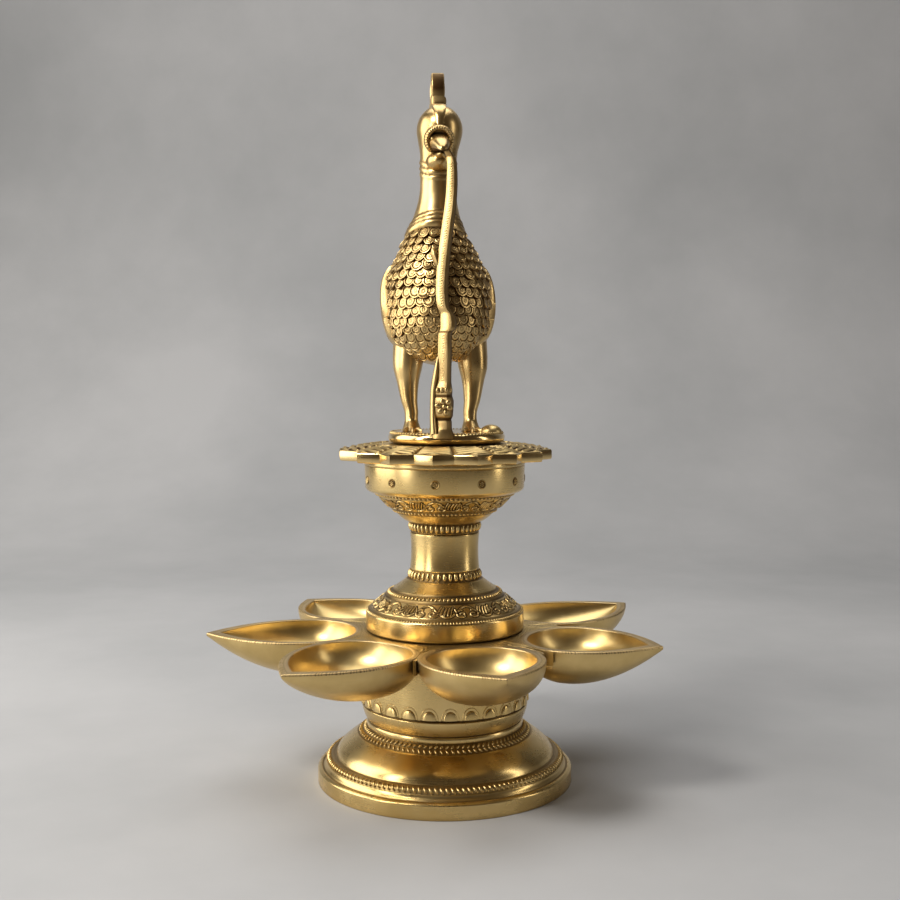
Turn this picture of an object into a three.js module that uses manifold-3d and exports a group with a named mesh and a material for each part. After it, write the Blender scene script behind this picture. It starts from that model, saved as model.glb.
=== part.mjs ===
// A brass oil lamp (diya) of the kind that screws together in sections: a hollow turned foot, a tray
// of seven leaf-shaped oil cups, a flared column, a bowl with a drum rim, a lotus plate and a standing
// lamp bird. Millimetres, +Z up. The lamp stands on z = 0 and the bird faces -Y.

import * as THREE from 'three';
import { mergeVertices } from 'three/addons/utils/BufferGeometryUtils.js';
import Module from 'manifold-3d';

const wasm = await Module();
wasm.setup();

// Fits
const SEAT = 0.3; // gap left between two faces that touch on the real lamp
const STUD_CLEARANCE = 0.3; // radial room of a stud in its tapped hole
const TRAY_CLEARANCE = 0.6; // radial room of a stud in a plate that is only clamped

// Facets round a turned piece
const TURNED_SIDES = 36;
const STUD_SIDES = 16;

// Foot
const FOOT_RADIUS = 55.6;
const FOOT_WALL_HEIGHT = 6.4;
const FOOT_WALL = 3.2;
const CHAIN_RING_RADIUS = 51.4;
const CHAIN_RING_HEIGHT = 10.6;
const BELL_RADIUS = 47.2;
const BELL_FOOT_HEIGHT = 12.2;
const BELL_TOP_RADIUS = 38.2;
const BELL_TOP_HEIGHT = 21.3;
const NECK_ROOT_RADIUS = 33.8;
const NECK_ROOT_HEIGHT = 24.4;
const NECK_RADIUS = 36.3;
const NECK_BAND_HEIGHT = 34.2;
const FOOT_HEIGHT = 59.7;
const FOOT_TOP_THICKNESS = 3.6;

// Studs, nut and washer that hold the sections together
const STUD_RADIUS = 4;
const NUT_ACROSS_FLATS = 13;
const NUT_HEIGHT = 6.5;
const WASHER_RADIUS = 12;
const WASHER_HEIGHT = 1.6;
const STUD_TAIL = 3; // foot stud below its nut
const COLUMN_GRIP = 14; // foot stud inside the column
const BOWL_GRIP = 11; // bowl stud inside the column
const DRUM_GRIP = 11; // bird stud inside the drum's post
const HOLE_SPARE = 1.5; // depth of a blind hole past the end of its stud

// Tray
const HUB_HEIGHT = 6;
const HUB_RADIUS = 46;
const CUP_WIDEST_AT = 57; // from the lamp's axis
const CUP_HALF_WIDTH = 25.2;
const CUP_INNER_END = 36.2;
const CUP_DEPTH = 18.2;
const CUP_LIP_DEPTH = 1.4; // depth of the pointed tip
const CUP_RIM = 2.7;
const CUP_HOLLOW_SHIFT = 1.5; // the hollow is widest a little farther out than the cup
const CUP_TIP_RIM = 6;
const CUP_HUB_RIM = 2.6;
const CUP_WALL = 2.7;
const CUP_TIP_WIDTH = 0.8;
// Each cup was set by hand on the pattern: the direction that it points in, and the reach of its tip.
const CUP_TURNS = [185.6, 234.4, 284.4, 338, 34, 83.5, 135]; // degrees
const CUP_REACHES = [103, 103, 93, 96.5, 106, 99, 97];

// Column
const FLANGE_RADIUS = 34.5;
const FLANGE_HEIGHT = 7.7;
const FLANGE_HOLLOW_RADIUS = 30.5;
const BOSS_RADIUS = 9;
const SHOULDER_RADIUS = 22.4;
const SHOULDER_HEIGHT = 17.6;
const COLLAR_RADIUS = 15.9;
const COLLAR_HEIGHT = 22.2;
const COLLAR_LENGTH = 3.8;
const STEM_RADIUS = 14.6;
const STEM_END_RADIUS = 15.1;
const COLUMN_LENGTH = 42.2;

// Bowl and drum
const BOWL_COLLAR_RADIUS = 15.4;
const BOWL_COLLAR_LENGTH = 4.4;
const BOWL_RADIUS = 31.2;
const BOWL_HEIGHT = 17.2;
const DRUM_RADIUS = 34.9;
const DRUM_TAPER = 0.6;
const DRUM_FOOT_HEIGHT = 19.6;
const DRUM_HEIGHT = 31.3;
const DRUM_WALL = 3;
const DRUM_POST_RADIUS = 8.4;
const DRUM_FLOOR = 12.8;

// Lotus plate
const PETALS = 16;
const PETAL_TIP_RADIUS = 46.4;
const PETAL_NOTCH_RADIUS = 41.6;
const PETAL_TURN = -5.75; // degrees that a petal's tip stands off the bird's facing side
const PETAL_THICKNESS = 4.3;
const LOTUS_RISE = 2.2;
const LOTUS_SEAT_RADIUS = 27.5;
const REGISTER_DEPTH = 1.8;
const REGISTER_WIDTH = 4;

// Bird
const BIRD_YAW = 4.5; // degrees, towards +X
const BIRD_SHIFT = -3;
const PLATE_SHIFT = 0.8;
const PLATE_RADIUS = 25.6;
const PLATE_WAVE = 0.7;
const PLATE_THICKNESS = 4.8;
const PLATE_EDGE = 0.8;
const LEG_MIDDLE = 1.4;
const WING_RELIEF = 1.3;
const WING_APART = 7; // half the space between the wings over the rump
const CREST_THICKNESS = 4.8;
const CREST_RIDGE_THICKNESS = 6.4;
const CREST_SHIFT = -0.5;
const TAIL_THICKNESS = 9;

// Heights where one section stands on the next
const TRAY_BOTTOM = FOOT_HEIGHT + SEAT;
const TRAY_TOP = TRAY_BOTTOM + HUB_HEIGHT;
const COLUMN_BOTTOM = TRAY_TOP + SEAT;
const COLUMN_TOP = COLUMN_BOTTOM + COLUMN_LENGTH;
const BOWL_BOTTOM = COLUMN_TOP + SEAT;
const DRUM_TOP = BOWL_BOTTOM + DRUM_HEIGHT;
const LOTUS_BOTTOM = DRUM_TOP + SEAT;
const LOTUS_TOP = LOTUS_BOTTOM + PETAL_THICKNESS + LOTUS_RISE;
const PLATE_BOTTOM = LOTUS_TOP + SEAT;
const PLATE_TOP = PLATE_BOTTOM + PLATE_THICKNESS;
const FEET = PLATE_TOP + SEAT;

// Solids: closed geometry to a manifold and back

function solidOf(geometry) {
  const bare = geometry.clone();
  bare.deleteAttribute('normal');
  bare.deleteAttribute('uv');
  const merged = mergeVertices(bare, 1e-4);
  const points = merged.attributes.position.array;
  const index = merged.index.array;
  const corners = [];
  let volume = 0;
  const corner = (i) => new THREE.Vector3().fromArray(points, 3 * i);
  for (let i = 0; i < index.length; i += 3) {
    const [a, b, c] = [index[i], index[i + 1], index[i + 2]];
    if (a === b || b === c || c === a) continue;
    corners.push(a, b, c);
    volume += corner(a).dot(corner(b).cross(corner(c)));
  }
  if (volume < 0) corners.reverse();
  return new wasm.Manifold(new wasm.Mesh({
    numProp: 3,
    vertProperties: new Float32Array(points),
    triVerts: new Uint32Array(corners),
  }));
}

function geometryOf(solid) {
  const mesh = solid.getMesh();
  const geometry = new THREE.BufferGeometry();
  geometry.setAttribute('position', new THREE.BufferAttribute(new Float32Array(mesh.vertProperties), 3));
  geometry.setIndex(new THREE.BufferAttribute(new Uint32Array(mesh.triVerts), 1));
  geometry.computeVertexNormals();
  return geometry;
}

const join = (first, ...others) => others.reduce((sum, next) => sum.add(next), first);
const cut = (first, ...others) => others.reduce((rest, next) => rest.subtract(next), first);

// A profile of radius and height, turned about Z
function turned(outline, sides = TURNED_SIDES) {
  const geometry = new THREE.LatheGeometry(outline, sides);
  geometry.rotateX(Math.PI / 2);
  return solidOf(geometry);
}

function rod(radius, bottom, top, sides = STUD_SIDES) {
  const geometry = new THREE.CylinderGeometry(radius, radius, top - bottom, sides);
  geometry.rotateX(Math.PI / 2);
  geometry.translate(0, 0, (top + bottom) / 2);
  return solidOf(geometry);
}

// A flat outline in Y and Z, given a thickness across X
function medianPlate(shape, thickness, steps = 8) {
  const geometry = new THREE.ExtrudeGeometry(shape, {
    depth: thickness, bevelEnabled: false, curveSegments: steps,
  });
  geometry.translate(0, 0, -thickness / 2);
  // shape x becomes Y, shape y becomes Z, depth becomes X
  const turn = new THREE.Matrix4().makeBasis(
    new THREE.Vector3(0, 1, 0), new THREE.Vector3(0, 0, 1), new THREE.Vector3(1, 0, 0));
  geometry.applyMatrix4(turn);
  return solidOf(geometry);
}

// A skin through rings that all have the same number of points, closed at both ends
function loft(rings) {
  const count = rings[0].length;
  const points = rings.flat();
  const middle = (ring) => ring.reduce((sum, p) => sum.add(p), new THREE.Vector3()).divideScalar(count);
  points.push(middle(rings[0]), middle(rings[rings.length - 1]));
  const index = [];
  for (let i = 0; i < rings.length - 1; i++) {
    for (let j = 0; j < count; j++) {
      const [a, b] = [i * count + j, i * count + (j + 1) % count];
      index.push(a, b, b + count, a, b + count, a + count);
    }
  }
  const [first, last] = [points.length - 2, points.length - 1];
  const end = (rings.length - 1) * count;
  for (let j = 0; j < count; j++) {
    const next = (j + 1) % count;
    index.push(first, next, j, last, end + j, end + next);
  }
  const geometry = new THREE.BufferGeometry().setFromPoints(points);
  geometry.setIndex(index);
  return solidOf(geometry);
}

const ellipse = (x, y, z, a, b, count) => Array.from({ length: count }, (_, i) => {
  const angle = 2 * Math.PI * i / count;
  return new THREE.Vector3(x + a * Math.cos(angle), y + b * Math.sin(angle), z);
});

// Upright ellipses, one for each station, blended by a smooth curve into the given number of rings
function stack(stations, rings, count, swell = 0) {
  const path = new THREE.CatmullRomCurve3(stations.map(([z, x, y]) => new THREE.Vector3(x, y, z)),
    false, 'chordal');
  const girth = new THREE.CatmullRomCurve3(stations.map(([z, , , a, b]) => new THREE.Vector3(a, b, z)),
    false, 'chordal');
  return loft(Array.from({ length: rings }, (_, i) => {
    const place = path.getPoint(i / (rings - 1));
    const size = girth.getPoint(i / (rings - 1));
    return ellipse(place.x, place.y, place.z, size.x + swell, size.y + swell, count);
  }));
}

// The outline of a turned piece: straight runs and quarter-round swells between given points
class Profile {
  constructor(radius, height) {
    this.path = new THREE.Path();
    this.path.moveTo(radius, height);
  }

  to(radius, height) {
    this.path.lineTo(radius, height);
    return this;
  }

  bend(viaRadius, viaHeight, radius, height) {
    this.path.quadraticCurveTo(viaRadius, viaHeight, radius, height);
    return this;
  }

  points(divisions = 3) {
    return this.path.getPoints(divisions);
  }
}

// Foot: a hollow bell with a closed top, open below

function footBase() {
  const top = FOOT_HEIGHT;
  const hole = STUD_RADIUS + STUD_CLEARANCE;
  const bore = NECK_RADIUS - FOOT_WALL;
  const ring = CHAIN_RING_RADIUS;
  const outline = new Profile(FOOT_RADIUS - FOOT_WALL, 0)
    .to(FOOT_RADIUS, 0)
    .to(FOOT_RADIUS, FOOT_WALL_HEIGHT)
    .to(FOOT_RADIUS - 1, FOOT_WALL_HEIGHT + 0.9)
    .bend(ring + 0.6, FOOT_WALL_HEIGHT + 1.2, ring + 0.4, CHAIN_RING_HEIGHT - 1.6)
    .bend(ring + 0.4, CHAIN_RING_HEIGHT + 0.8, ring - 2.6, CHAIN_RING_HEIGHT + 1.1)
    .to(BELL_RADIUS + 0.2, BELL_FOOT_HEIGHT - 0.8)
    .bend(BELL_RADIUS + 0.4, BELL_FOOT_HEIGHT + 4.4, BELL_TOP_RADIUS, BELL_TOP_HEIGHT)
    .to(NECK_ROOT_RADIUS + 0.8, NECK_ROOT_HEIGHT - 0.4)
    .to(NECK_ROOT_RADIUS, NECK_ROOT_HEIGHT)
    .to(NECK_ROOT_RADIUS + 0.6, NECK_ROOT_HEIGHT + 2.7)
    .to(NECK_ROOT_RADIUS + 0.2, NECK_ROOT_HEIGHT + 3)
    .bend(NECK_RADIUS + 0.1, NECK_ROOT_HEIGHT + 4, NECK_RADIUS, NECK_BAND_HEIGHT)
    .to(NECK_RADIUS - 0.5, NECK_BAND_HEIGHT + 0.3)
    .to(NECK_RADIUS, NECK_BAND_HEIGHT + 0.7)
    .to(NECK_RADIUS, top)
    .to(hole, top)
    .to(hole, top - FOOT_TOP_THICKNESS)
    .to(bore, top - FOOT_TOP_THICKNESS)
    .to(bore, NECK_BAND_HEIGHT)
    .to(NECK_ROOT_RADIUS - FOOT_WALL, NECK_ROOT_HEIGHT)
    .bend(BELL_RADIUS - FOOT_WALL, BELL_FOOT_HEIGHT + 4, BELL_RADIUS - 1, FOOT_WALL_HEIGHT + 1)
    .to(FOOT_RADIUS - FOOT_WALL, FOOT_WALL_HEIGHT - 2)
    .to(FOOT_RADIUS - FOOT_WALL, 0);
  return turned(outline.points());
}

const NUT_TOP = FOOT_HEIGHT - FOOT_TOP_THICKNESS - SEAT - WASHER_HEIGHT - SEAT;

function footWasher() {
  const top = FOOT_HEIGHT - FOOT_TOP_THICKNESS - SEAT;
  return cut(rod(WASHER_RADIUS, top - WASHER_HEIGHT, top, 24),
    rod(STUD_RADIUS + STUD_CLEARANCE, top - WASHER_HEIGHT - 1, top + 1));
}

function footNut() {
  const corner = NUT_ACROSS_FLATS / Math.sqrt(3);
  return cut(rod(corner, NUT_TOP - NUT_HEIGHT, NUT_TOP, 6),
    rod(STUD_RADIUS + STUD_CLEARANCE, NUT_TOP - NUT_HEIGHT - 1, NUT_TOP + 1));
}

const footStud = () => rod(STUD_RADIUS, NUT_TOP - NUT_HEIGHT - STUD_TAIL, COLUMN_BOTTOM + COLUMN_GRIP);

// Tray: seven leaf-shaped cups in one casting with their hub

// Half-width and depth of a leaf at a distance from the lamp's axis
function leafAt(distance, leaf) {
  if (distance < leaf.widestAt) {
    const u = (leaf.widestAt - distance) / (leaf.widestAt - leaf.innerEnd);
    const round = Math.sqrt(Math.max(0, 1 - u * u));
    return { width: leaf.halfWidth * round, depth: leaf.depth * round };
  }
  const t = (distance - leaf.widestAt) / (leaf.reach - leaf.widestAt);
  return {
    width: Math.max(leaf.halfWidth * (1 - t ** 2.4), CUP_TIP_WIDTH / 2),
    depth: leaf.tipDepth + (leaf.depth - leaf.tipDepth) * (1 - t * t),
  };
}

// A leaf-shaped bowl lying along +X, its flat top raised above the rim by the given headroom
function leafSolid(leaf, headroom) {
  const [inner, outer, across] = [4, 8, 10];
  const distances = [];
  for (let i = 0; i < inner; i++) {
    const angle = Math.PI / 2 * (1 - i / inner) * 0.97;
    distances.push(leaf.widestAt - (leaf.widestAt - leaf.innerEnd) * Math.sin(angle));
  }
  for (let i = 0; i <= outer; i++) {
    const t = Math.sin(Math.PI / 2 * i / outer);
    distances.push(leaf.widestAt + (leaf.reach - leaf.widestAt) * t);
  }
  return loft(distances.map((distance) => {
    const { width, depth } = leafAt(distance, leaf);
    const ring = [];
    for (let j = 0; j <= across; j++) {
      const angle = Math.PI * j / across;
      const fall = Math.sin(angle) ** 0.85;
      ring.push(new THREE.Vector3(distance, width * Math.cos(angle), -depth * fall));
    }
    if (headroom > 0) {
      ring.push(new THREE.Vector3(distance, -width, headroom), new THREE.Vector3(distance, width, headroom));
    }
    return ring;
  }));
}

function oilTray() {
  const placed = (solid, i) => solid.rotate([0, 0, CUP_TURNS[i]]).translate([0, 0, TRAY_TOP]);
  const shells = CUP_REACHES.map((reach, i) => placed(leafSolid({
    innerEnd: CUP_INNER_END, widestAt: CUP_WIDEST_AT, reach,
    halfWidth: CUP_HALF_WIDTH, depth: CUP_DEPTH, tipDepth: CUP_LIP_DEPTH,
  }, 0), i));
  const hollows = CUP_REACHES.map((reach, i) => placed(leafSolid({
    innerEnd: CUP_INNER_END + CUP_HUB_RIM,
    widestAt: CUP_WIDEST_AT + CUP_HOLLOW_SHIFT,
    reach: reach - CUP_TIP_RIM,
    halfWidth: CUP_HALF_WIDTH - CUP_RIM, depth: CUP_DEPTH - CUP_WALL, tipDepth: CUP_LIP_DEPTH / 2,
  }, 2), i));
  const hub = rod(HUB_RADIUS, TRAY_BOTTOM, TRAY_TOP, TURNED_SIDES);
  const hole = rod(STUD_RADIUS + TRAY_CLEARANCE, TRAY_BOTTOM - 1, TRAY_TOP + 1);
  return cut(join(hub, ...shells), hole, ...hollows);
}

// Column: a flared foot, hollow below, with a slightly waisted stem

function column() {
  const z = (height) => COLUMN_BOTTOM + height;
  const hole = STUD_RADIUS + STUD_CLEARANCE;
  const gripTop = COLUMN_GRIP + HOLE_SPARE;
  const collarTop = COLLAR_HEIGHT + COLLAR_LENGTH;
  const stemMiddle = (collarTop + COLUMN_LENGTH) / 2;
  const outline = new Profile(0, z(gripTop))
    .to(hole, z(gripTop))
    .to(hole, z(SEAT))
    .to(BOSS_RADIUS, z(SEAT))
    .to(BOSS_RADIUS + 0.8, z(gripTop - 1))
    .to(BOSS_RADIUS + 5, z(gripTop + 1))
    .bend(SHOULDER_RADIUS, z(gripTop - 1), FLANGE_HOLLOW_RADIUS, z(FLANGE_HEIGHT - 2.4))
    .to(FLANGE_HOLLOW_RADIUS, z(0))
    .to(FLANGE_RADIUS - 0.6, z(0))
    .bend(FLANGE_RADIUS, z(0), FLANGE_RADIUS, z(1.2))
    .to(FLANGE_RADIUS, z(FLANGE_HEIGHT))
    .to(FLANGE_RADIUS - 1.2, z(FLANGE_HEIGHT + 1.5))
    .bend(FLANGE_RADIUS - 5, z(FLANGE_HEIGHT + 4.4), SHOULDER_RADIUS + 3.9, z(SHOULDER_HEIGHT - 2.9))
    .to(SHOULDER_RADIUS + 3.2, z(SHOULDER_HEIGHT - 2.5))
    .bend(SHOULDER_RADIUS + 2.8, z(SHOULDER_HEIGHT - 0.6), SHOULDER_RADIUS + 0.6, z(SHOULDER_HEIGHT - 0.4))
    .to(SHOULDER_RADIUS, z(SHOULDER_HEIGHT))
    .bend(COLLAR_RADIUS + 2.6, z(COLLAR_HEIGHT - 1.6), COLLAR_RADIUS, z(COLLAR_HEIGHT - 0.2))
    .bend(COLLAR_RADIUS + 0.6, z(collarTop - COLLAR_LENGTH / 2), STEM_END_RADIUS, z(collarTop))
    .bend(2 * STEM_RADIUS - STEM_END_RADIUS, z(stemMiddle), STEM_END_RADIUS, z(COLUMN_LENGTH))
    .to(hole, z(COLUMN_LENGTH))
    .to(hole, z(COLUMN_LENGTH - BOWL_GRIP - HOLE_SPARE))
    .to(0, z(COLUMN_LENGTH - BOWL_GRIP - HOLE_SPARE));
  return turned(outline.points());
}

// Bowl and drum in one casting, open at the top round a post that takes the bird's stud

function drumBowl() {
  const z = (height) => BOWL_BOTTOM + height;
  const hole = STUD_RADIUS + STUD_CLEARANCE;
  const mouth = DRUM_RADIUS - DRUM_WALL;
  const collar = BOWL_COLLAR_RADIUS;
  const outline = new Profile(0, z(BOWL_GRIP + HOLE_SPARE))
    .to(hole, z(BOWL_GRIP + HOLE_SPARE))
    .to(hole, z(0))
    .to(collar - 0.6, z(0))
    .bend(collar + 0.4, z(BOWL_COLLAR_LENGTH / 2), collar + 0.4, z(BOWL_COLLAR_LENGTH))
    .bend(collar + 2, z(BOWL_COLLAR_LENGTH + 1.4), collar + 5.6, z(BOWL_COLLAR_LENGTH + 3.8))
    .bend(BOWL_RADIUS - 6, z(BOWL_HEIGHT - 5.6), BOWL_RADIUS, z(BOWL_HEIGHT))
    .to(DRUM_RADIUS - DRUM_TAPER - 1.6, z(DRUM_FOOT_HEIGHT - 1.6))
    .to(DRUM_RADIUS - DRUM_TAPER, z(DRUM_FOOT_HEIGHT))
    .to(DRUM_RADIUS, z(DRUM_HEIGHT))
    .to(mouth, z(DRUM_HEIGHT))
    .to(mouth - DRUM_TAPER, z(DRUM_FOOT_HEIGHT + 1))
    .bend(mouth - 2.4, z(DRUM_FOOT_HEIGHT - 2), DRUM_POST_RADIUS + 8, z(DRUM_FLOOR + 0.6))
    .to(DRUM_POST_RADIUS + 1.6, z(DRUM_FLOOR))
    .to(DRUM_POST_RADIUS, z(DRUM_FLOOR + 1.4))
    .to(DRUM_POST_RADIUS, z(DRUM_HEIGHT))
    .to(hole, z(DRUM_HEIGHT))
    .to(hole, z(DRUM_HEIGHT - DRUM_GRIP - HOLE_SPARE))
    .to(0, z(DRUM_HEIGHT - DRUM_GRIP - HOLE_SPARE));
  return turned(outline.points());
}

const bowlStud = () => rod(STUD_RADIUS, COLUMN_TOP - BOWL_GRIP, BOWL_BOTTOM + BOWL_GRIP);

// Lotus plate: pointed petals with a thick rim, a low cone on top and a register that drops into the drum

function lotusPlate() {
  const star = new THREE.Shape();
  for (let i = 0; i < 2 * PETALS; i++) {
    const angle = Math.PI * i / PETALS - Math.PI / 2 + PETAL_TURN * Math.PI / 180;
    const radius = i % 2 === 0 ? PETAL_TIP_RADIUS : PETAL_NOTCH_RADIUS;
    const [x, y] = [radius * Math.cos(angle), radius * Math.sin(angle)];
    if (i === 0) star.moveTo(x, y);
    else star.lineTo(x, y);
  }
  const rim = new THREE.ExtrudeGeometry(star, { depth: PETAL_THICKNESS, bevelEnabled: false });
  rim.translate(0, 0, LOTUS_BOTTOM);
  const cone = turned(new Profile(0, LOTUS_BOTTOM)
    .to(PETAL_NOTCH_RADIUS - 1, LOTUS_BOTTOM)
    .to(PETAL_NOTCH_RADIUS - 1, LOTUS_BOTTOM + PETAL_THICKNESS)
    .bend(LOTUS_SEAT_RADIUS + 5, LOTUS_TOP, LOTUS_SEAT_RADIUS, LOTUS_TOP)
    .to(0, LOTUS_TOP).points());
  const registerRadius = DRUM_RADIUS - DRUM_WALL - 2 * SEAT;
  const register = cut(rod(registerRadius, LOTUS_BOTTOM - REGISTER_DEPTH, LOTUS_BOTTOM + 1, TURNED_SIDES),
    rod(registerRadius - REGISTER_WIDTH, LOTUS_BOTTOM - REGISTER_DEPTH - 1, LOTUS_BOTTOM, TURNED_SIDES));
  const hole = rod(STUD_RADIUS + TRAY_CLEARANCE, LOTUS_BOTTOM - 1, LOTUS_TOP + 1);
  return cut(join(solidOf(rim), cone, register), hole);
}

// Bird: one casting for body, neck, head, beak and legs

// Height, centre across X, centre along Y, half-width across X, half-length along Y
const BODY = [
  [181, 0, 6, 5, 7],
  [184, 0, 6, 11.5, 16],
  [190.5, 0.3, 6.5, 19, 25.5],
  [198, 0.4, 6.5, 22.5, 31.5],
  [208, 0.2, 5.5, 23.5, 33],
  [217.5, -0.3, 2, 22, 29.5],
  [226, -0.5, -4.5, 17.3, 22.5],
  [234.6, -1.5, -9.5, 13.2, 15.5],
  [243, -1.2, -12, 9.7, 11.2],
  [252, -0.8, -12.8, 7.7, 8.5],
  [262, -0.6, -12.4, 7.5, 8.3],
  [272, -0.3, -11.6, 8.2, 9.4],
];
const HEAD_RISE = 6.4;
const HEAD = { y: -12, z: BODY[BODY.length - 1][0] + HEAD_RISE, a: 9.7, b: 12, c: 10.2 };

// The beak's root and tip from the head's centre
const BEAK_ROOT = { x: -0.9, y: -11, z: -6.6 };
const BEAK_TIP = { x: 0, y: -21.4, z: -11.3 };
const BEAK_RADIUS = 4.6;
const BEAK_TIP_SHARE = 0.5;
const BEAK_INSIDE = 6;
const BEAK_RING_RADIUS = 5;
const BEAK_RING_SECTION = 1.15;
const BEAK_RING_ANGLE = 0.2;
const LOWER_BEAK_RADIUS = 3.3;
const LOWER_BEAK_SHORTER = 2.4;
const MOUTH_DROP = 3.5;

const trunk = (swell = 0) => stack(BODY, 17, 18, swell);

function headBall(swell = 0) {
  const geometry = new THREE.SphereGeometry(1, 18, 12);
  geometry.rotateX(Math.PI / 2);
  geometry.scale(HEAD.a + swell, HEAD.b + swell, HEAD.c + swell);
  geometry.translate(0, HEAD.y, HEAD.z);
  return solidOf(geometry);
}

const fromHead = ({ x, y, z }) => new THREE.Vector3(x, HEAD.y + y, HEAD.z + z);

// A beak half: rings along a line that droops, thinner towards a blunt tip
function beakHalf(root, tip, radius, droop) {
  const rings = [];
  const steps = 8;
  for (let i = 0; i <= steps; i++) {
    const t = i / steps;
    const blunt = Math.sqrt(1 - Math.max(0, t - 0.8) ** 2 * 18);
    const size = radius * (1 - (1 - BEAK_TIP_SHARE) * t) * blunt;
    const centre = new THREE.Vector3().lerpVectors(root, tip, t);
    centre.z += droop * 4 * t * (1 - t);
    rings.push(Array.from({ length: 12 }, (_, j) => {
      const angle = 2 * Math.PI * j / 12;
      const rise = 0.8 * size * Math.sin(angle);
      return new THREE.Vector3(centre.x + size * Math.cos(angle), centre.y, centre.z + rise);
    }));
  }
  return loft(rings);
}

function beak(swell = 0) {
  const root = fromHead(BEAK_ROOT);
  const tip = fromHead(BEAK_TIP);
  const inside = root.clone().add(new THREE.Vector3(0, BEAK_INSIDE, 0));
  const below = new THREE.Vector3(0, 0, -MOUTH_DROP);
  const upper = beakHalf(inside, tip, BEAK_RADIUS + swell, 0.8);
  const lower = beakHalf(inside.clone().add(below),
    tip.clone().add(below).add(new THREE.Vector3(0, LOWER_BEAK_SHORTER, 0)),
    LOWER_BEAK_RADIUS + swell, -0.2);
  const ring = new THREE.TorusGeometry(BEAK_RING_RADIUS, BEAK_RING_SECTION + swell, 8, 20);
  ring.rotateX(Math.PI / 2 - BEAK_RING_ANGLE);
  ring.translate(root.x, root.y, root.z);
  return join(upper, lower, solidOf(ring));
}

function leg(side) {
  const x = (spread) => LEG_MIDDLE + side * spread;
  return stack([
    [FEET, x(12.8), -1.5, 4.4, 6.5],
    [FEET + 1.6, x(12.8), -1, 3.8, 5],
    [FEET + 5, x(12.8), 0.8, 3, 3.4],
    [FEET + 13, x(13.7), 2, 3.6, 3.8],
    [FEET + 21, x(14.2), 3, 4.8, 5],
    [FEET + 28, x(14.2), 4, 6.4, 7],
    [FEET + 41, x(13.2), 5.5, 7.2, 9],
  ], 11, 12);
}

// The wing seen from the side: a leaf that starts at the shoulder and ends in a blunt tip
const WING = [
  [-17, 212],
  [-18, 224, -6, 229, 4, 225],
  [18, 220, 28, 210, 37, 201],
  [37, 195.5],
  [18, 190, -12, 192, -17, 212],
];

// Longer than the wings in every direction
const PAST_WINGS = 240;

function birdBody() {
  const between = new THREE.BoxGeometry(2 * WING_APART, 2 * PAST_WINGS, 2 * PAST_WINGS);
  const leaf = medianPlate(outlineOf(WING), PAST_WINGS, 10);
  const wings = cut(leaf.intersect(trunk(WING_RELIEF)), solidOf(between));
  return join(trunk(), headBall(), beak(), leg(-1), leg(1), wings);
}

// Crest: a flat comb let down over the head, on a thicker ridge that runs on to the forehead

// Outlines in Y and Z: a point, or two control points and the point that the curve ends in.
// The crest's are measured from the head's centre.
const CREST_RIDGE = [
  [-12.6, 1],
  [-11.4, 7.6, -6, 10.2, -3.5, 10.6],
  [-2.4, 14],
  [10.5, 14],
  [14, 11.6, 15, 8.6, 13, 4.6],
  [2, 0.6],
];
const CREST_COMB = [
  [-1.4, 7.6],
  [-0.8, 17.6],
  [-0.4, 20.6, 1, 23.6, 3, 24.8],
  [7, 24.8],
  [6.5, 22, 9.5, 21.4, 11, 21.2],
  [10, 18.4, 12.5, 16.8, 14, 16],
  [12, 5.6],
];
const TAIL_PLUME = [
  [26, 190],
  [44, 190, 60, 204, 61, 224],
  [62, 240, 56, 250, 46, 251],
  [39, 251, 36, 245, 40, 241],
  [43, 243, 48, 240, 48, 233],
  [48, 224, 42, 220, 24, 216],
];

function outlineOf(rows) {
  const [first, ...rest] = rows;
  const shape = new THREE.Shape().moveTo(...first);
  for (const row of rest) {
    if (row.length === 2) shape.lineTo(...row);
    else shape.bezierCurveTo(...row);
  }
  return shape;
}

function crest() {
  const ridge = medianPlate(outlineOf(CREST_RIDGE), CREST_RIDGE_THICKNESS, 6);
  const comb = medianPlate(outlineOf(CREST_COMB), CREST_THICKNESS, 5);
  const placed = join(ridge, comb).translate([CREST_SHIFT, HEAD.y, HEAD.z]);
  return cut(placed, headBall(SEAT), beak(SEAT));
}

// Tail: a flat upswept plume that curls forward at its tip
const tail = () => cut(medianPlate(outlineOf(TAIL_PLUME), TAIL_THICKNESS, 9), trunk(SEAT));

// Creeper: a ridged strip that hangs from the beak to the plate, with a leaf knob and a round boss
// Height, centre across X, centre along Y, half-width, half-depth
const CREEPER = [
  [263.6, 3.5, -30.6, 1.9, 1.5],
  [257, 3.8, -30.9, 2.2, 1.7],
  [247, 3.3, -31.3, 2.35, 1.9],
  [235, 1.7, -31.7, 2.5, 2],
  [223, 0.6, -32, 2.6, 2],
  [205, 0.3, -32, 2.6, 2.1],
  [201.2, 1.9, -32, 3.1, 2.6],
  [195.2, 2.3, -32, 3.3, 2.8],
  [194.2, 0.9, -31.9, 2.8, 2.4],
  [186, 0.8, -31.2, 2.8, 2.4],
  [175, 0.7, -29.6, 2.9, 2.6],
  [171, 0.3, -28.9, 3.6, 3.3],
  [166, 0.4, -28.1, 4.2, 3.9],
  [160.8, 0.4, -27.4, 3.9, 3.4],
  [158.6, 0.5, -27, 3.7, 3],
];
// Its foot is let into the edge of the plate, this far above the plate's underside
const CREEPER_FOOT = { x: 0.6, y: -26.4, rise: 3, halfWidth: 4.1, halfDepth: 2.8 };

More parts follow.
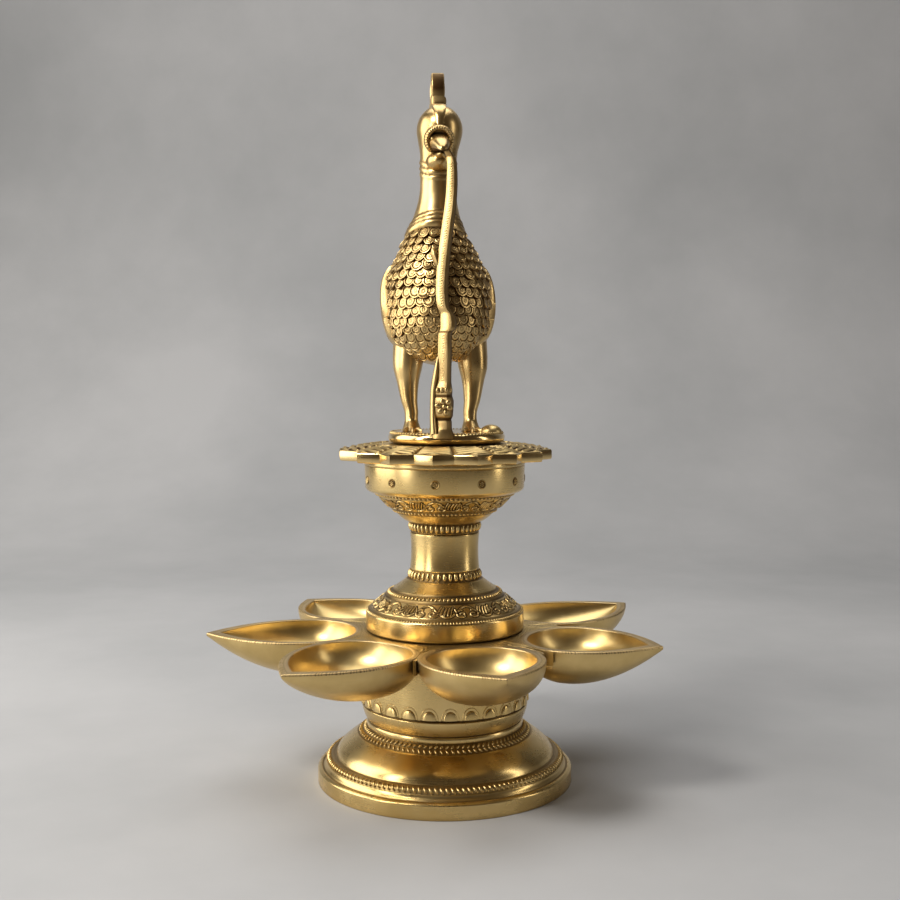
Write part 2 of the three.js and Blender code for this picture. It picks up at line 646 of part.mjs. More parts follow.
function creeper() {
  const { x: footX, y: footY, rise, halfWidth, halfDepth } = CREEPER_FOOT;
  const foot = [PLATE_BOTTOM + rise + SEAT, footX, footY, halfWidth, halfDepth];
  const strip = loft([...CREEPER, foot].map(([z, x, y, a, b]) => [
    new THREE.Vector3(x - a, y + b, z),
    new THREE.Vector3(x - a, y - 0.4 * b, z),
    new THREE.Vector3(x, y - b, z),
    new THREE.Vector3(x + a, y - 0.4 * b, z),
    new THREE.Vector3(x + a, y + b, z),
  ]));
  return cut(strip, beak(SEAT));
}

// Plate under the bird, wavy at its rim, notched in front for the creeper's foot
function birdPlate() {
  const outline = new THREE.Shape();
  const steps = 42;
  for (let i = 0; i < steps; i++) {
    const angle = 2 * Math.PI * i / steps;
    const radius = PLATE_RADIUS - PLATE_EDGE + PLATE_WAVE * Math.sin(7 * angle) * Math.cos(2 * angle);
    const [x, y] = [radius * Math.cos(angle), radius * Math.sin(angle)];
    if (i === 0) outline.moveTo(x, y);
    else outline.lineTo(x, y);
  }
  const slab = new THREE.ExtrudeGeometry(outline, {
    depth: PLATE_THICKNESS - 2 * PLATE_EDGE,
    bevelThickness: PLATE_EDGE,
    bevelSize: PLATE_EDGE,
    bevelSegments: 1,
  });
  slab.translate(0, 0, PLATE_BOTTOM + PLATE_EDGE);
  const notchDepth = 2 * (CREEPER_FOOT.halfDepth + SEAT);
  const notchHeight = 2 * PLATE_THICKNESS;
  const notch = new THREE.BoxGeometry(2 * (CREEPER_FOOT.halfWidth + SEAT), notchDepth, notchHeight);
  notch.translate(CREEPER_FOOT.x, CREEPER_FOOT.y, PLATE_BOTTOM + CREEPER_FOOT.rise + notchHeight / 2);
  const hole = rod(STUD_RADIUS + STUD_CLEARANCE, PLATE_BOTTOM - 1, PLATE_TOP - 1.2);
  // The stud is on the lamp's axis, and the bird stands a little to one side of it
  const disc = solidOf(slab).translate([PLATE_SHIFT - BIRD_SHIFT, 0, 0]);
  return cut(disc, solidOf(notch), hole.translate([-BIRD_SHIFT, 0, 0]));
}

const birdStud = () => rod(STUD_RADIUS, DRUM_TOP - DRUM_GRIP, PLATE_TOP - 1.2 - SEAT);

// Brass in the tones that the pieces show

const CAST_BRASS = { color: 0xc9a24a, roughness: 0.34 };
const TURNED_BRASS = { color: 0xd2ab52, roughness: 0.26 };
const CHASED_BRASS = { color: 0xb98f3c, roughness: 0.4 };
const STUD_BRASS = { color: 0xc2a45c, roughness: 0.45 };

function part(name, solid, finish) {
  const material = new THREE.MeshStandardMaterial({ ...finish, metalness: 1 });
  const mesh = new THREE.Mesh(geometryOf(solid), material);
  mesh.name = name;
  return mesh;
}

function lamp() {
  const sections = new THREE.Group();
  const tray = part('oil_tray', oilTray(), CAST_BRASS);
  sections.add(
    part('foot_base', footBase(), TURNED_BRASS),
    part('foot_washer', footWasher(), STUD_BRASS),
    part('foot_nut', footNut(), STUD_BRASS),
    part('foot_stud', footStud(), STUD_BRASS),
    tray,
    part('column', column(), TURNED_BRASS),
    part('drum_bowl', drumBowl(), TURNED_BRASS),
    part('bowl_stud', bowlStud(), STUD_BRASS),
    part('lotus_plate', lotusPlate(), CAST_BRASS),
    part('bird_stud', birdStud(), STUD_BRASS),
  );
  const bird = new THREE.Group();
  bird.rotation.z = THREE.MathUtils.degToRad(BIRD_YAW);
  bird.position.x = BIRD_SHIFT;
  bird.add(
    part('bird_plate', birdPlate(), CAST_BRASS),
    part('bird_body', birdBody(), CHASED_BRASS),
    part('bird_crest', crest(), CHASED_BRASS),
    part('bird_tail', tail(), CHASED_BRASS),
    part('creeper', creeper(), CHASED_BRASS),
  );
  sections.add(bird);
  // The origin lies on the ground below the middle of the lamp's plan, which the cups' tips set
  const plan = new THREE.Box3().setFromObject(tray).getCenter(new THREE.Vector3());
  sections.position.set(-plan.x, -plan.y, 0);
  const whole = new THREE.Group();
  whole.add(sections);
  return whole;
}

export default lamp();
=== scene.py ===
"""Looks of a brass devotional oil lamp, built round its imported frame.

Lengths inside the classes are millimetres from the lamp's own axis, with the floor at zero and the
bird facing -Y. Pieces are turned into metres in the frame's place when their mesh is made.
"""

import logging
import math
from dataclasses import dataclass, field
from enum import Enum
from typing import Any, Callable, Iterable, Optional, Sequence, Union

import bmesh
import bpy
import numpy as np
from mathutils import Euler, Matrix, Vector


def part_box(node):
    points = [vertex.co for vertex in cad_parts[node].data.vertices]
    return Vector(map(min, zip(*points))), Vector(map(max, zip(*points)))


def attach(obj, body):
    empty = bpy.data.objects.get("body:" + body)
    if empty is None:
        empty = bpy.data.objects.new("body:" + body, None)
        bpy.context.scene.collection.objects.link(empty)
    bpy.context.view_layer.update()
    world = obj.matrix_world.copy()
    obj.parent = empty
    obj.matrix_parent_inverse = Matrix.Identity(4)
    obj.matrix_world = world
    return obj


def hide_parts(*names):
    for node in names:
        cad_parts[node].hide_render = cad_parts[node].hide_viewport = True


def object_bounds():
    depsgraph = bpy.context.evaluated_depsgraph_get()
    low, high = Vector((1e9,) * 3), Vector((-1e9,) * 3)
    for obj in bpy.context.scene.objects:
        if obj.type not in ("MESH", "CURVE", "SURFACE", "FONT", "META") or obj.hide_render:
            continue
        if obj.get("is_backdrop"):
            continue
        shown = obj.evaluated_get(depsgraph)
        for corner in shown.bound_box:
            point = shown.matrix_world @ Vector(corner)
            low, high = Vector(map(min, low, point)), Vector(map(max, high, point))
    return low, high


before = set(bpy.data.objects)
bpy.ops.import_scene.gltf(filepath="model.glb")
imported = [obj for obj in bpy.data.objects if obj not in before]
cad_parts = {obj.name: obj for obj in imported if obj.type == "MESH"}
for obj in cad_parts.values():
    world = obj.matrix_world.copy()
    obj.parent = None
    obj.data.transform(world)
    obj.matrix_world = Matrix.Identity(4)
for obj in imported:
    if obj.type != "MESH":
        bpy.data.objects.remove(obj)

log = logging.getLogger("lamp")

MM = 0.001
SIDES = 192  # faces round a turned piece
SAME_POINT = 1e-6  # metres within which two points of one motif are one
SAME_SEAM = 3e-6  # metres within which the edges of two tiles meet


def lamp_axis() -> Vector:
    """Where the lamp's axis meets the floor, in metres.

    Returns:
        The middle of the column's box, at floor level.
    """
    low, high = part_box("column")
    return Vector(((low.x + high.x) / 2, (low.y + high.y) / 2, 0.0))


AXIS = lamp_axis()


def round_angles(sides: int) -> np.ndarray:
    """Evenly spaced angles of a full turn, in radians."""
    return np.arange(sides) * 2 * math.pi / sides


def oval(x: float, y: float, wide: np.ndarray, deep: np.ndarray, z: float, angles: np.ndarray) -> np.ndarray:
    """A level ring of points: an ellipse round a middle."""
    return np.column_stack([x + wide * np.cos(angles), y + deep * np.sin(angles), np.full(len(angles), z)])


def unit_ring(angles: np.ndarray) -> np.ndarray:
    """Points of X and Y at the given angles, one away from the middle."""
    return np.stack([np.cos(angles), np.sin(angles)], 1)


def rotate(degrees: float, axis: str) -> Matrix:
    """A turn round the axis "X", "Y" or "Z"."""
    return Matrix.Rotation(math.radians(degrees), 4, axis)


def offset(x: float, y: float, z: float) -> Matrix:
    """A move without a turn."""
    return Matrix.Translation((x, y, z))


def add_object(name: str, data: bpy.types.ID) -> bpy.types.Object:
    """Adds an object to the scene.

    Args:
        name: the object's name.
        data: its mesh, light or camera.

    Returns:
        The new object.
    """
    thing = bpy.data.objects.new(name, data)
    bpy.context.scene.collection.objects.link(thing)
    return thing


def cleaned(mesh: bpy.types.Mesh, gap: float) -> None:
    """Joins the points of a mesh that lie together, and turns its faces outwards.

    Args:
        mesh: the mesh to clean.
        gap: how close, in metres, two points are that become one.
    """
    work = bmesh.new()
    work.from_mesh(mesh)
    bmesh.ops.remove_doubles(work, verts=work.verts, dist=gap)
    bmesh.ops.recalc_face_normals(work, faces=work.faces)
    work.to_mesh(mesh)
    work.free()


class Section(Enum):
    """The bodies of the frame that the pieces ride on."""

    FOOT = "foot"
    TRAY = "tray"
    COLUMN = "column"
    DRUM = "drum"
    LOTUS = "lotus"
    BIRD = "bird"


class Grain(Enum):
    """What the tool left on the metal."""

    TURNED = "turned"
    CAST = "cast"
    FILED = "filed"


@dataclass(frozen=True)
class Finish:
    """A brass surface.

    Args:
        name: the material's name.
        slot: a material slot name; not used.
        grain: what the tool left.
        light: colour of the rubbed places.
        deep: colour of the less rubbed places.
        rough: roughness of the clean metal.
        dent: height in mm of the soft unevenness of the surface.
        streak: how far reflections are drawn out across the turning lines, from 0 to 1.
    """

    name: str
    slot: str
    grain: Grain
    light: tuple[float, float, float]
    deep: tuple[float, float, float]
    rough: float
    dent: float
    streak: float


# Dark brown of the patina in the hollows, also used for painted shade.
PATINA_AND_SHADE = (0.070, 0.032, 0.010, 1.0)
TURNED = Finish("TurnedBrass", "turned_brass", Grain.TURNED, (0.83, 0.62, 0.28), (0.66, 0.46, 0.17),
                0.27, 0.010, 0.5)
CAST = Finish("CastBrass", "cast_brass", Grain.CAST, (0.80, 0.60, 0.27), (0.60, 0.42, 0.16),
              0.36, 0.020, 0.0)
WORN = Finish("WornHollow", "cast_brass", Grain.CAST, (0.86, 0.66, 0.30), (0.68, 0.48, 0.18),
              0.34, 0.030, 0.0)
POLISHED = Finish("PolishedEdge", "cast_brass", Grain.CAST, (0.90, 0.68, 0.32), (0.74, 0.52, 0.22),
                  0.17, 0.006, 0.0)
FILED = Finish("FiledRim", "cast_brass", Grain.FILED, (0.76, 0.57, 0.28), (0.54, 0.38, 0.17),
               0.38, 0.030, 0.0)
CHASED = Finish("ChasedBrass", "chased_brass", Grain.CAST, (0.80, 0.58, 0.26), (0.56, 0.37, 0.14),
                0.30, 0.020, 0.0)
THREAD = Finish("StudBrass", "stud_brass", Grain.TURNED, (0.70, 0.52, 0.24), (0.52, 0.36, 0.15),
                0.36, 0.010, 0.0)


Socket = bpy.types.NodeSocket
Value = Union[float, Sequence[float], Socket]


class Graph:
    """A node tree with short calls that add a node and join its inputs."""

    def __init__(self, tree: bpy.types.NodeTree) -> None:
        """Keeps the tree that the nodes go into."""
        self.tree = tree

    def add(self, kind: str, inputs: Optional[dict] = None, **settings: Any) -> bpy.types.Node:
        """Adds a node.

        Args:
            kind: the node's type name.
            inputs: values or sockets by input name or number.
            settings: other properties of the node.

        Returns:
            The new node.
        """
        node = self.tree.nodes.new(kind)
        for key, value in settings.items():
            setattr(node, key, value)
        for key, value in (inputs or {}).items():
            if isinstance(value, bpy.types.NodeSocket):
                self.tree.links.new(value, node.inputs[key])
            else:
                node.inputs[key].default_value = value
        return node

    def math(self, operation: str, *values: Value) -> Socket:
        """Adds a math node and returns its result."""
        return self.add("ShaderNodeMath", dict(enumerate(values)), operation=operation).outputs[0]

    def vector(self, operation: str, *values: Value) -> Socket:
        """Adds a vector math node and returns its vector."""
        return self.add("ShaderNodeVectorMath", dict(enumerate(values)), operation=operation).outputs[0]

    def remap(self, value: Socket, low: float, high: float, out_low: float, out_high: float) -> Socket:
        """Maps a value from one range to another, clamped."""
        return self.add("ShaderNodeMapRange", {0: value, 1: low, 2: high, 3: out_low, 4: out_high}).outputs[0]

    def noise(self, place: Socket, scale: float, detail: float, rough: float = 0.5) -> Socket:
        """Adds a noise texture and returns its value, from 0 to 1."""
        inputs = {"Vector": place, "Scale": scale, "Detail": detail, "Roughness": rough}
        return self.add("ShaderNodeTexNoise", inputs).outputs[0]

    def mix(self, share: Socket, first: Value, second: Value) -> Socket:
        """Adds a mix of two colours and returns its colour."""
        return self.add("ShaderNodeMix", {0: share, 6: first, 7: second}, data_type="RGBA").outputs[2]


class BrassShop:
    """Makes each finish's material once."""

    def __init__(self) -> None:
        """Starts with no material made."""
        self.made: dict[str, bpy.types.Material] = {}

    def material(self, finish: Finish) -> bpy.types.Material:
        """The material of a finish.

        Args:
            finish: the brass surface wanted.

        Returns:
            A node material, made on first use.
        """
        if finish.name not in self.made:
            self.made[finish.name] = self._make(finish)
        return self.made[finish.name]

    def _make(self, finish: Finish) -> bpy.types.Material:
        """Builds the nodes of a finish: rubbed metal, patina and painted shade in the hollows, pits and tool
        marks.

        Args:
            finish: the brass surface wanted.

        Returns:
            The new material.
        """
        material = bpy.data.materials.new(finish.name)
        material.use_nodes = True
        material.node_tree.nodes.clear()
        g = Graph(material.node_tree)
        place = g.add("ShaderNodeTexCoord").outputs["Object"]
        centred = g.vector("SUBTRACT", place, AXIS)
        smudge = g.noise(place, 42.0, 4.0, 0.6)
        swell = g.noise(place, 120.0, 2.0)
        grain, depth = self._grain(g, finish.grain, place, centred)
        pits = g.add("ShaderNodeTexVoronoi", {"Vector": place, "Scale": 260.0, "Randomness": 1.0})
        pit = g.remap(pits.outputs["Distance"], 0.03, 0.06, 1.0, 0.0)
        fewest = 0.74 if finish.grain is Grain.TURNED else 0.65
        rare = g.remap(swell, fewest, fewest + 0.06, 0.0, 1.0)
        pit = g.math("MULTIPLY", pit, rare)
        patina_and_occlusion_shade = g.add("ShaderNodeAttribute", attribute_name="patina").outputs["Fac"]
        # Painted shade: ambient occlusion darkens hollows, creases and the places under parts, on top of the
        # patina.
        open_sky = g.add("ShaderNodeAmbientOcclusion", {"Distance": 0.0045}, samples=4).outputs["AO"]
        patina_and_occlusion_shade = g.math("MAXIMUM", patina_and_occlusion_shade, g.remap(open_sky, 0.25, 0.75, 0.62, 0.0))
        soot_and_shade = g.math("MULTIPLY", patina_and_occlusion_shade, g.remap(smudge, 0.3, 0.7, 0.80, 1.15))
        soot_and_shade = g.math("MAXIMUM", g.math("MINIMUM", soot_and_shade, 1.0), g.math("MULTIPLY", pit, 0.8))
        tone = g.remap(smudge, 0.30, 0.70, 0.0, 1.0)
        metal = g.mix(tone, (*finish.deep, 1.0), (*finish.light, 1.0))
        colour = g.mix(soot_and_shade, metal, PATINA_AND_SHADE)
        rough = g.math("ADD", finish.rough, g.math("MULTIPLY", g.math("SUBTRACT", smudge, 0.5), 0.22))
        rough = g.math("ADD", rough, g.math("MULTIPLY", g.math("SUBTRACT", grain, 0.5), 0.06))
        rough = g.math("ADD", rough, g.math("MULTIPLY", soot_and_shade, 0.30))
        height = g.math("MULTIPLY", swell, finish.dent)
        height = g.math("ADD", height, g.math("MULTIPLY", grain, depth))
        height = g.math("SUBTRACT", height, g.math("MULTIPLY", pit, 0.08))
        bump = g.add("ShaderNodeBump", {"Height": height, "Distance": MM, "Strength": 1.0}).outputs[0]
        looks = {"Base Color": colour, "Metallic": 1.0, "Roughness": rough, "Normal": bump}
        if finish.streak > 0:
            looks["Anisotropic"] = finish.streak
            looks["Tangent"] = self._profile_direction(g, centred)
        shader = g.add("ShaderNodeBsdfPrincipled", looks)
        g.add("ShaderNodeOutputMaterial", {"Surface": shader.outputs[0]})
        return material

    @staticmethod
    def _profile_direction(g: Graph, centred: Socket) -> Socket:
        """The direction along a turned profile, across the turning lines.

        Args:
            g: the material's tree.
            centred: place from the lamp's axis.

        Returns:
            The tangent for the shader.
        """
        around = g.vector("CROSS_PRODUCT", (0, 0, 1), centred)
        normal = g.add("ShaderNodeNewGeometry").outputs["Normal"]
        return g.vector("NORMALIZE", g.vector("CROSS_PRODUCT", normal, around))

    @staticmethod
    def _grain(g: Graph, grain: Grain, place: Socket, centred: Socket) -> tuple[Socket, float]:
        """The marks that the tool left.

        Args:
            g: the material's tree.
            grain: which tool.
            place: place on the object.
            centred: place from the lamp's axis.

        Returns:
            The marks, from 0 to 1, and their height in mm.
        """
        if grain is Grain.TURNED:
            xyz = g.add("ShaderNodeSeparateXYZ", {0: centred}).outputs
            radius = g.math("SQRT", g.math("ADD", g.math("POWER", xyz[0], 2.0), g.math("POWER", xyz[1], 2.0)))
            around = g.math("ARCTAN2", xyz[1], xyz[0])
            scales = ((radius, 3600.0), (xyz[2], 3600.0), (around, 1.6))
            parts = {i: g.math("MULTIPLY", value, scale) for i, (value, scale) in enumerate(scales)}
            return g.noise(g.add("ShaderNodeCombineXYZ", parts).outputs[0], 1.0, 3.0), 0.0035
        if grain is Grain.FILED:
            stretched = g.add("ShaderNodeMapping", {"Vector": place, "Scale": (2600.0, 900.0, 900.0)})
            return g.noise(stretched.outputs[0], 1.0, 4.0), 0.030
        return g.noise(place, 900.0, 5.0, 0.7), 0.010


BRASS = BrassShop()


class Sheet:
    """Faces of one piece, gathered in millimetres from the lamp's axis."""

    def __init__(self) -> None:
        """Starts without points or faces."""
        self.points: list[np.ndarray] = []
        self.patina: list[np.ndarray] = []
        self.faces: list[tuple[int, ...]] = []
        self.count = 0

    def add(self, points: np.ndarray, faces: Iterable[tuple[int, ...]],
            patina: Union[float, np.ndarray] = 0.0) -> None:
        """Adds points and the faces between them.

        Args:
            points: an array of shape (n, 3).
            faces: corners counted from this call's first point.
            patina: one value, or one for each point, from 0 clean to 1 dark: the dark of the hollows, and
                painted shade on some pieces.
        """
        points = np.asarray(points, float).reshape(-1, 3)
        self.points.append(points)
        self.patina.append(np.broadcast_to(np.asarray(patina, float).reshape(-1), (len(points),)).copy())
        self.faces.extend(tuple(c + self.count for c in f) for f in faces)
        self.count += len(points)

    def grid(self, points: np.ndarray, around: bool = False, along: bool = False, caps: bool = False,
             patina: Union[float, np.ndarray] = 0.0) -> None:
        """Adds a net of four-sided faces.

        Args:
            points: an array of shape (rows, columns, 3).
            around: joins the last column to the first.
            along: joins the last row to the first.
            caps: closes the first and last row, when the columns go around.
            patina: one value or an array that fits (rows, columns).
        """
        rows, columns = points.shape[:2]
        faces = []
        for i in range(rows if along else rows - 1):
            for j in range(columns if around else columns - 1):
                here, ahead, right = i * columns, (i + 1) % rows * columns, (j + 1) % columns
                faces.append((here + j, here + right, ahead + right, ahead + j))
        if caps:
            faces.append(tuple(range(columns))[::-1])
            faces.append(tuple((rows - 1) * columns + j for j in range(columns)))
        dark = np.broadcast_to(np.asarray(patina, float), (rows, columns))
        self.add(points.reshape(-1, 3), faces, dark.reshape(-1))

    def merge(self, other: "Sheet", place: Matrix = Matrix.Identity(4)) -> None:
        """Adds a copy of another sheet.

        Args:
            other: the sheet to copy.
            place: moves the copy, in millimetres.
        """
        points = np.concatenate(other.points)
        m = np.array(place)
        self.add(points @ m[:3, :3].T + m[:3, 3], other.faces, np.concatenate(other.patina))

    def moved(self, place: Matrix) -> "Sheet":
        """A copy of the sheet in another place."""
        copy = Sheet()
        copy.merge(self, place)
        return copy

    def mesh(self, name: str, in_place: bool = True) -> bpy.types.Mesh:
        """A clean mesh with its normals outwards.

        Args:
            name: the mesh's name.
            in_place: moves the mesh to the lamp's axis; False for a motif that is repeated later.

        Returns:
            The mesh, in metres.
        """
        points = np.concatenate(self.points) * MM
        if in_place:
            points = points + np.array(AXIS)
        mesh = bpy.data.meshes.new(name)
        mesh.from_pydata(points.tolist(), [], self.faces)
        # This attribute holds the dark of the hollows and, on some pieces, painted shade.
        layer = mesh.attributes.new("patina", "FLOAT", "POINT")
        layer.data.foreach_set("value", np.concatenate(self.patina))
        cleaned(mesh, SAME_POINT)
        mesh.polygons.foreach_set("use_smooth", [True] * len(mesh.polygons))
        return mesh


def net(points: np.ndarray, **options: Any) -> Sheet:
    """A sheet that is one net of four-sided faces.

    Args:
        points: an array of shape (rows, columns, 3).
        options: as for Sheet.grid.

    Returns:
        The sheet.
    """
    sheet = Sheet()
    sheet.grid(points, **options)
    return sheet


def finished(name: str, mesh: bpy.types.Mesh, finish: Finish, section: Section, nodes: Sequence[str],
             crease: float = 50.0) -> bpy.types.Object:
    """Puts a mesh into the scene as a piece of the lamp.

    Args:
        name: the piece's name.
        mesh: its mesh, in the frame's place.
        finish: its brass.
        section: the body that it rides on.
        nodes: the frame's nodes that it stands for.
        crease: edges sharper than this, in degrees, stay sharp.

    Returns:
        The new object.
    """
    mesh.set_sharp_from_angle(angle=math.radians(crease))
    mesh.materials.clear()
    mesh.materials.append(BRASS.material(finish))
    piece = add_object(name, mesh)
    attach(piece, section.value)
    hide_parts(*nodes)
    log.info("%s: %d faces", name, len(mesh.polygons))
    return piece


def evaluated(mesh: bpy.types.Mesh, group: bpy.types.NodeTree,
              values: dict[str, Any]) -> bpy.types.Mesh:
    """Runs a node group on a mesh and returns a plain mesh.

    Args:
        mesh: what goes into the group's geometry socket.
        group: the geometry node group.
        values: the group's other inputs, by name.

    Returns:
        The group's result.
    """
    carrier = add_object("carrier", mesh)
    modifier = carrier.modifiers.new("repeat", "NODES")
    modifier.node_group = group
    given = (i for i in group.interface.items_tree if getattr(i, "in_out", "") == "INPUT")
    sockets = {i.name: i.identifier for i in given}
    for name, value in values.items():
        modifier[sockets[name]] = value
    carrier.update_tag()
    graph = bpy.context.evaluated_depsgraph_get()
    result = bpy.data.meshes.new_from_object(carrier.evaluated_get(graph))
    carrier.modifiers.clear()
    bpy.data.objects.remove(carrier)
    return result


class Repeats:
    """The two node groups that repeat a motif: round a ring, and on prepared points."""

    def __init__(self) -> None:
        """Builds both groups."""
        self.ring_group = self._ring_group()
        self.scatter_group = self._scatter_group()

    @staticmethod
    def _new(name: str, inputs: Sequence[tuple[str, str]]) -> tuple[Graph, dict, bpy.types.Node]:
        """Starts a node group.

        Args:
            name: the group's name.
            inputs: label and kind of each input after the geometry.

        Returns:
            The tree, its input sockets by label, and its output node.
        """
        tree = bpy.data.node_groups.new(name, "GeometryNodeTree")
        tree.interface.new_socket("Geometry", in_out="INPUT", socket_type="NodeSocketGeometry")
        for label, kind in inputs:
            tree.interface.new_socket(label, in_out="INPUT", socket_type=kind)
        tree.interface.new_socket("Geometry", in_out="OUTPUT", socket_type="NodeSocketGeometry")
        g = Graph(tree)
        source = g.add("NodeGroupInput")
        return g, {s.name: s for s in source.outputs}, g.add("NodeGroupOutput")

    @staticmethod
    def _finish(g: Graph, instances: Socket, material: Socket, output: bpy.types.Node) -> None:
        """Ends a group in plain, painted geometry.

        Args:
            g: the tree.
            instances: the placed motifs.
            material: the material's socket.
            output: the group's output.
        """
        plain = g.add("GeometryNodeRealizeInstances", {"Geometry": instances}).outputs[0]
        painted = g.add("GeometryNodeSetMaterial", {"Geometry": plain, "Material": material}).outputs[0]
        g.tree.links.new(painted, output.inputs[0])

    def _ring_group(self) -> bpy.types.NodeTree:
        """The group that sets a motif round a ring.

        Returns:
            The node group.
        """
        g, given, output = self._new(
            "RepeatRoundRing",
            [("Motif", "NodeSocketObject"), ("Count", "NodeSocketInt"), ("Radius", "NodeSocketFloat"),
             ("Height", "NodeSocketFloat"), ("Lean", "NodeSocketFloat"), ("Phase", "NodeSocketFloat"),
             ("Material", "NodeSocketMaterial")],
        )
        step = g.math("DIVIDE", 2 * math.pi, given["Count"])
        index = g.add("GeometryNodeInputIndex").outputs[0]
        turn = g.math("ADD", g.math("MULTIPLY", index, step), given["Phase"])
        x = g.math("MULTIPLY", g.math("COSINE", turn), given["Radius"])
        y = g.math("MULTIPLY", g.math("SINE", turn), given["Radius"])
        spot = g.add("ShaderNodeCombineXYZ", {0: x, 1: y, 2: given["Height"]}).outputs[0]
        spots = g.add("GeometryNodePoints", {"Count": given["Count"], "Position": spot}).outputs[0]
        angles = g.add("ShaderNodeCombineXYZ", {1: given["Lean"], 2: turn}).outputs[0]
        rotation = g.add("FunctionNodeEulerToRotation", {0: angles}).outputs[0]
        motif = g.add("GeometryNodeObjectInfo", {"Object": given["Motif"]}).outputs["Geometry"]
        where = {"Points": spots, "Instance": motif, "Rotation": rotation}
        placed = g.add("GeometryNodeInstanceOnPoints", where)
        self._finish(g, placed.outputs[0], given["Material"], output)
        return g.tree

    def _scatter_group(self) -> bpy.types.NodeTree:
        """The group that sets a motif on points with their own turn and size.

        Returns:
            The node group.
        """
        g, given, output = self._new(
            "RepeatOnPoints",
            [("Motif", "NodeSocketObject"), ("Size", "NodeSocketFloat"), ("Material", "NodeSocketMaterial")],
        )
        spots = g.add("GeometryNodeMeshToPoints", {"Mesh": given["Geometry"], "Radius": 0.0001}).outputs[0]
        turn = g.add("GeometryNodeInputNamedAttribute", {"Name": "turn"}, data_type="FLOAT_VECTOR").outputs[0]
        size = g.add("GeometryNodeInputNamedAttribute", {"Name": "size"}, data_type="FLOAT").outputs[0]
        rotation = g.add("FunctionNodeEulerToRotation", {0: turn}).outputs[0]
        motif = g.add("GeometryNodeObjectInfo", {"Object": given["Motif"]}).outputs["Geometry"]
        scale = g.math("MULTIPLY", size, given["Size"])
        where = {"Points": spots, "Instance": motif, "Rotation": rotation, "Scale": scale}
        placed = g.add("GeometryNodeInstanceOnPoints", where)
        self._finish(g, placed.outputs[0], given["Material"], output)
        return g.tree

    @staticmethod
    def _motif(sheet: Sheet) -> bpy.types.Object:
        """The object that a group repeats; its maker removes it again."""
        return add_object("motif", sheet.mesh("motif", in_place=False))

    def ring(self, motif: Sheet, finish: Finish, count: int, radius: float = 0.0, height: float = 0.0,
             lean: float = 0.0, phase: float = 0.0, place: Matrix = Matrix.Identity(4),
             joined: bool = False) -> bpy.types.Mesh:
        """Repeats a motif round a ring.

        Args:
            motif: drawn with x outwards, y along the ring and z up.
            finish: its brass.
            count: how many.
            radius: the ring's radius in mm.
            height: the ring's height in mm.
            lean: degrees that each motif's top leans outwards.
            phase: degrees that the first one stands from +X.
            place: moves the whole ring, in millimetres, before it goes to the lamp's axis.
            joined: the motifs are tiles that close into one ring.

        Returns:
            The mesh, in the frame's place.
        """
        shape = self._motif(motif)
        values = {
            "Motif": shape, "Count": count, "Radius": radius * MM, "Height": height * MM,
            "Lean": math.radians(lean), "Phase": math.radians(phase), "Material": BRASS.material(finish),
        }
        mesh = evaluated(bpy.data.meshes.new("ring"), self.ring_group, values)
        bpy.data.objects.remove(shape)
        if joined:
            cleaned(mesh, SAME_SEAM)
        metric = place.copy()
        metric.translation *= MM
        mesh.transform(Matrix.Translation(AXIS) @ metric)
        return mesh

    def scatter(self, motif: Sheet, finish: Finish, spots: np.ndarray, turns: Sequence[Euler],
                sizes: Sequence[float]) -> bpy.types.Mesh:
        """Repeats a motif on prepared points.

        Args:
            motif: drawn round its own origin.
            finish: its brass.
            spots: the points, in millimetres from the lamp's axis.
            turns: how each one is turned.
            sizes: how much each one is enlarged.

        Returns:
            The mesh, in the frame's place.
        """
        carrier = bpy.data.meshes.new("spots")
        carrier.from_pydata((np.asarray(spots) * MM + np.array(AXIS)).tolist(), [], [])
        carrier.attributes.new("turn", "FLOAT_VECTOR", "POINT").data.foreach_set(
            "vector", np.array([tuple(t) for t in turns], float).reshape(-1))
        carrier.attributes.new("size", "FLOAT", "POINT").data.foreach_set("value", np.asarray(sizes, float))
        shape = self._motif(motif)
        values = {"Motif": shape, "Size": 1.0, "Material": BRASS.material(finish)}
        mesh = evaluated(carrier, self.scatter_group, values)
        bpy.data.objects.remove(shape)
        return mesh


REPEATS = Repeats()


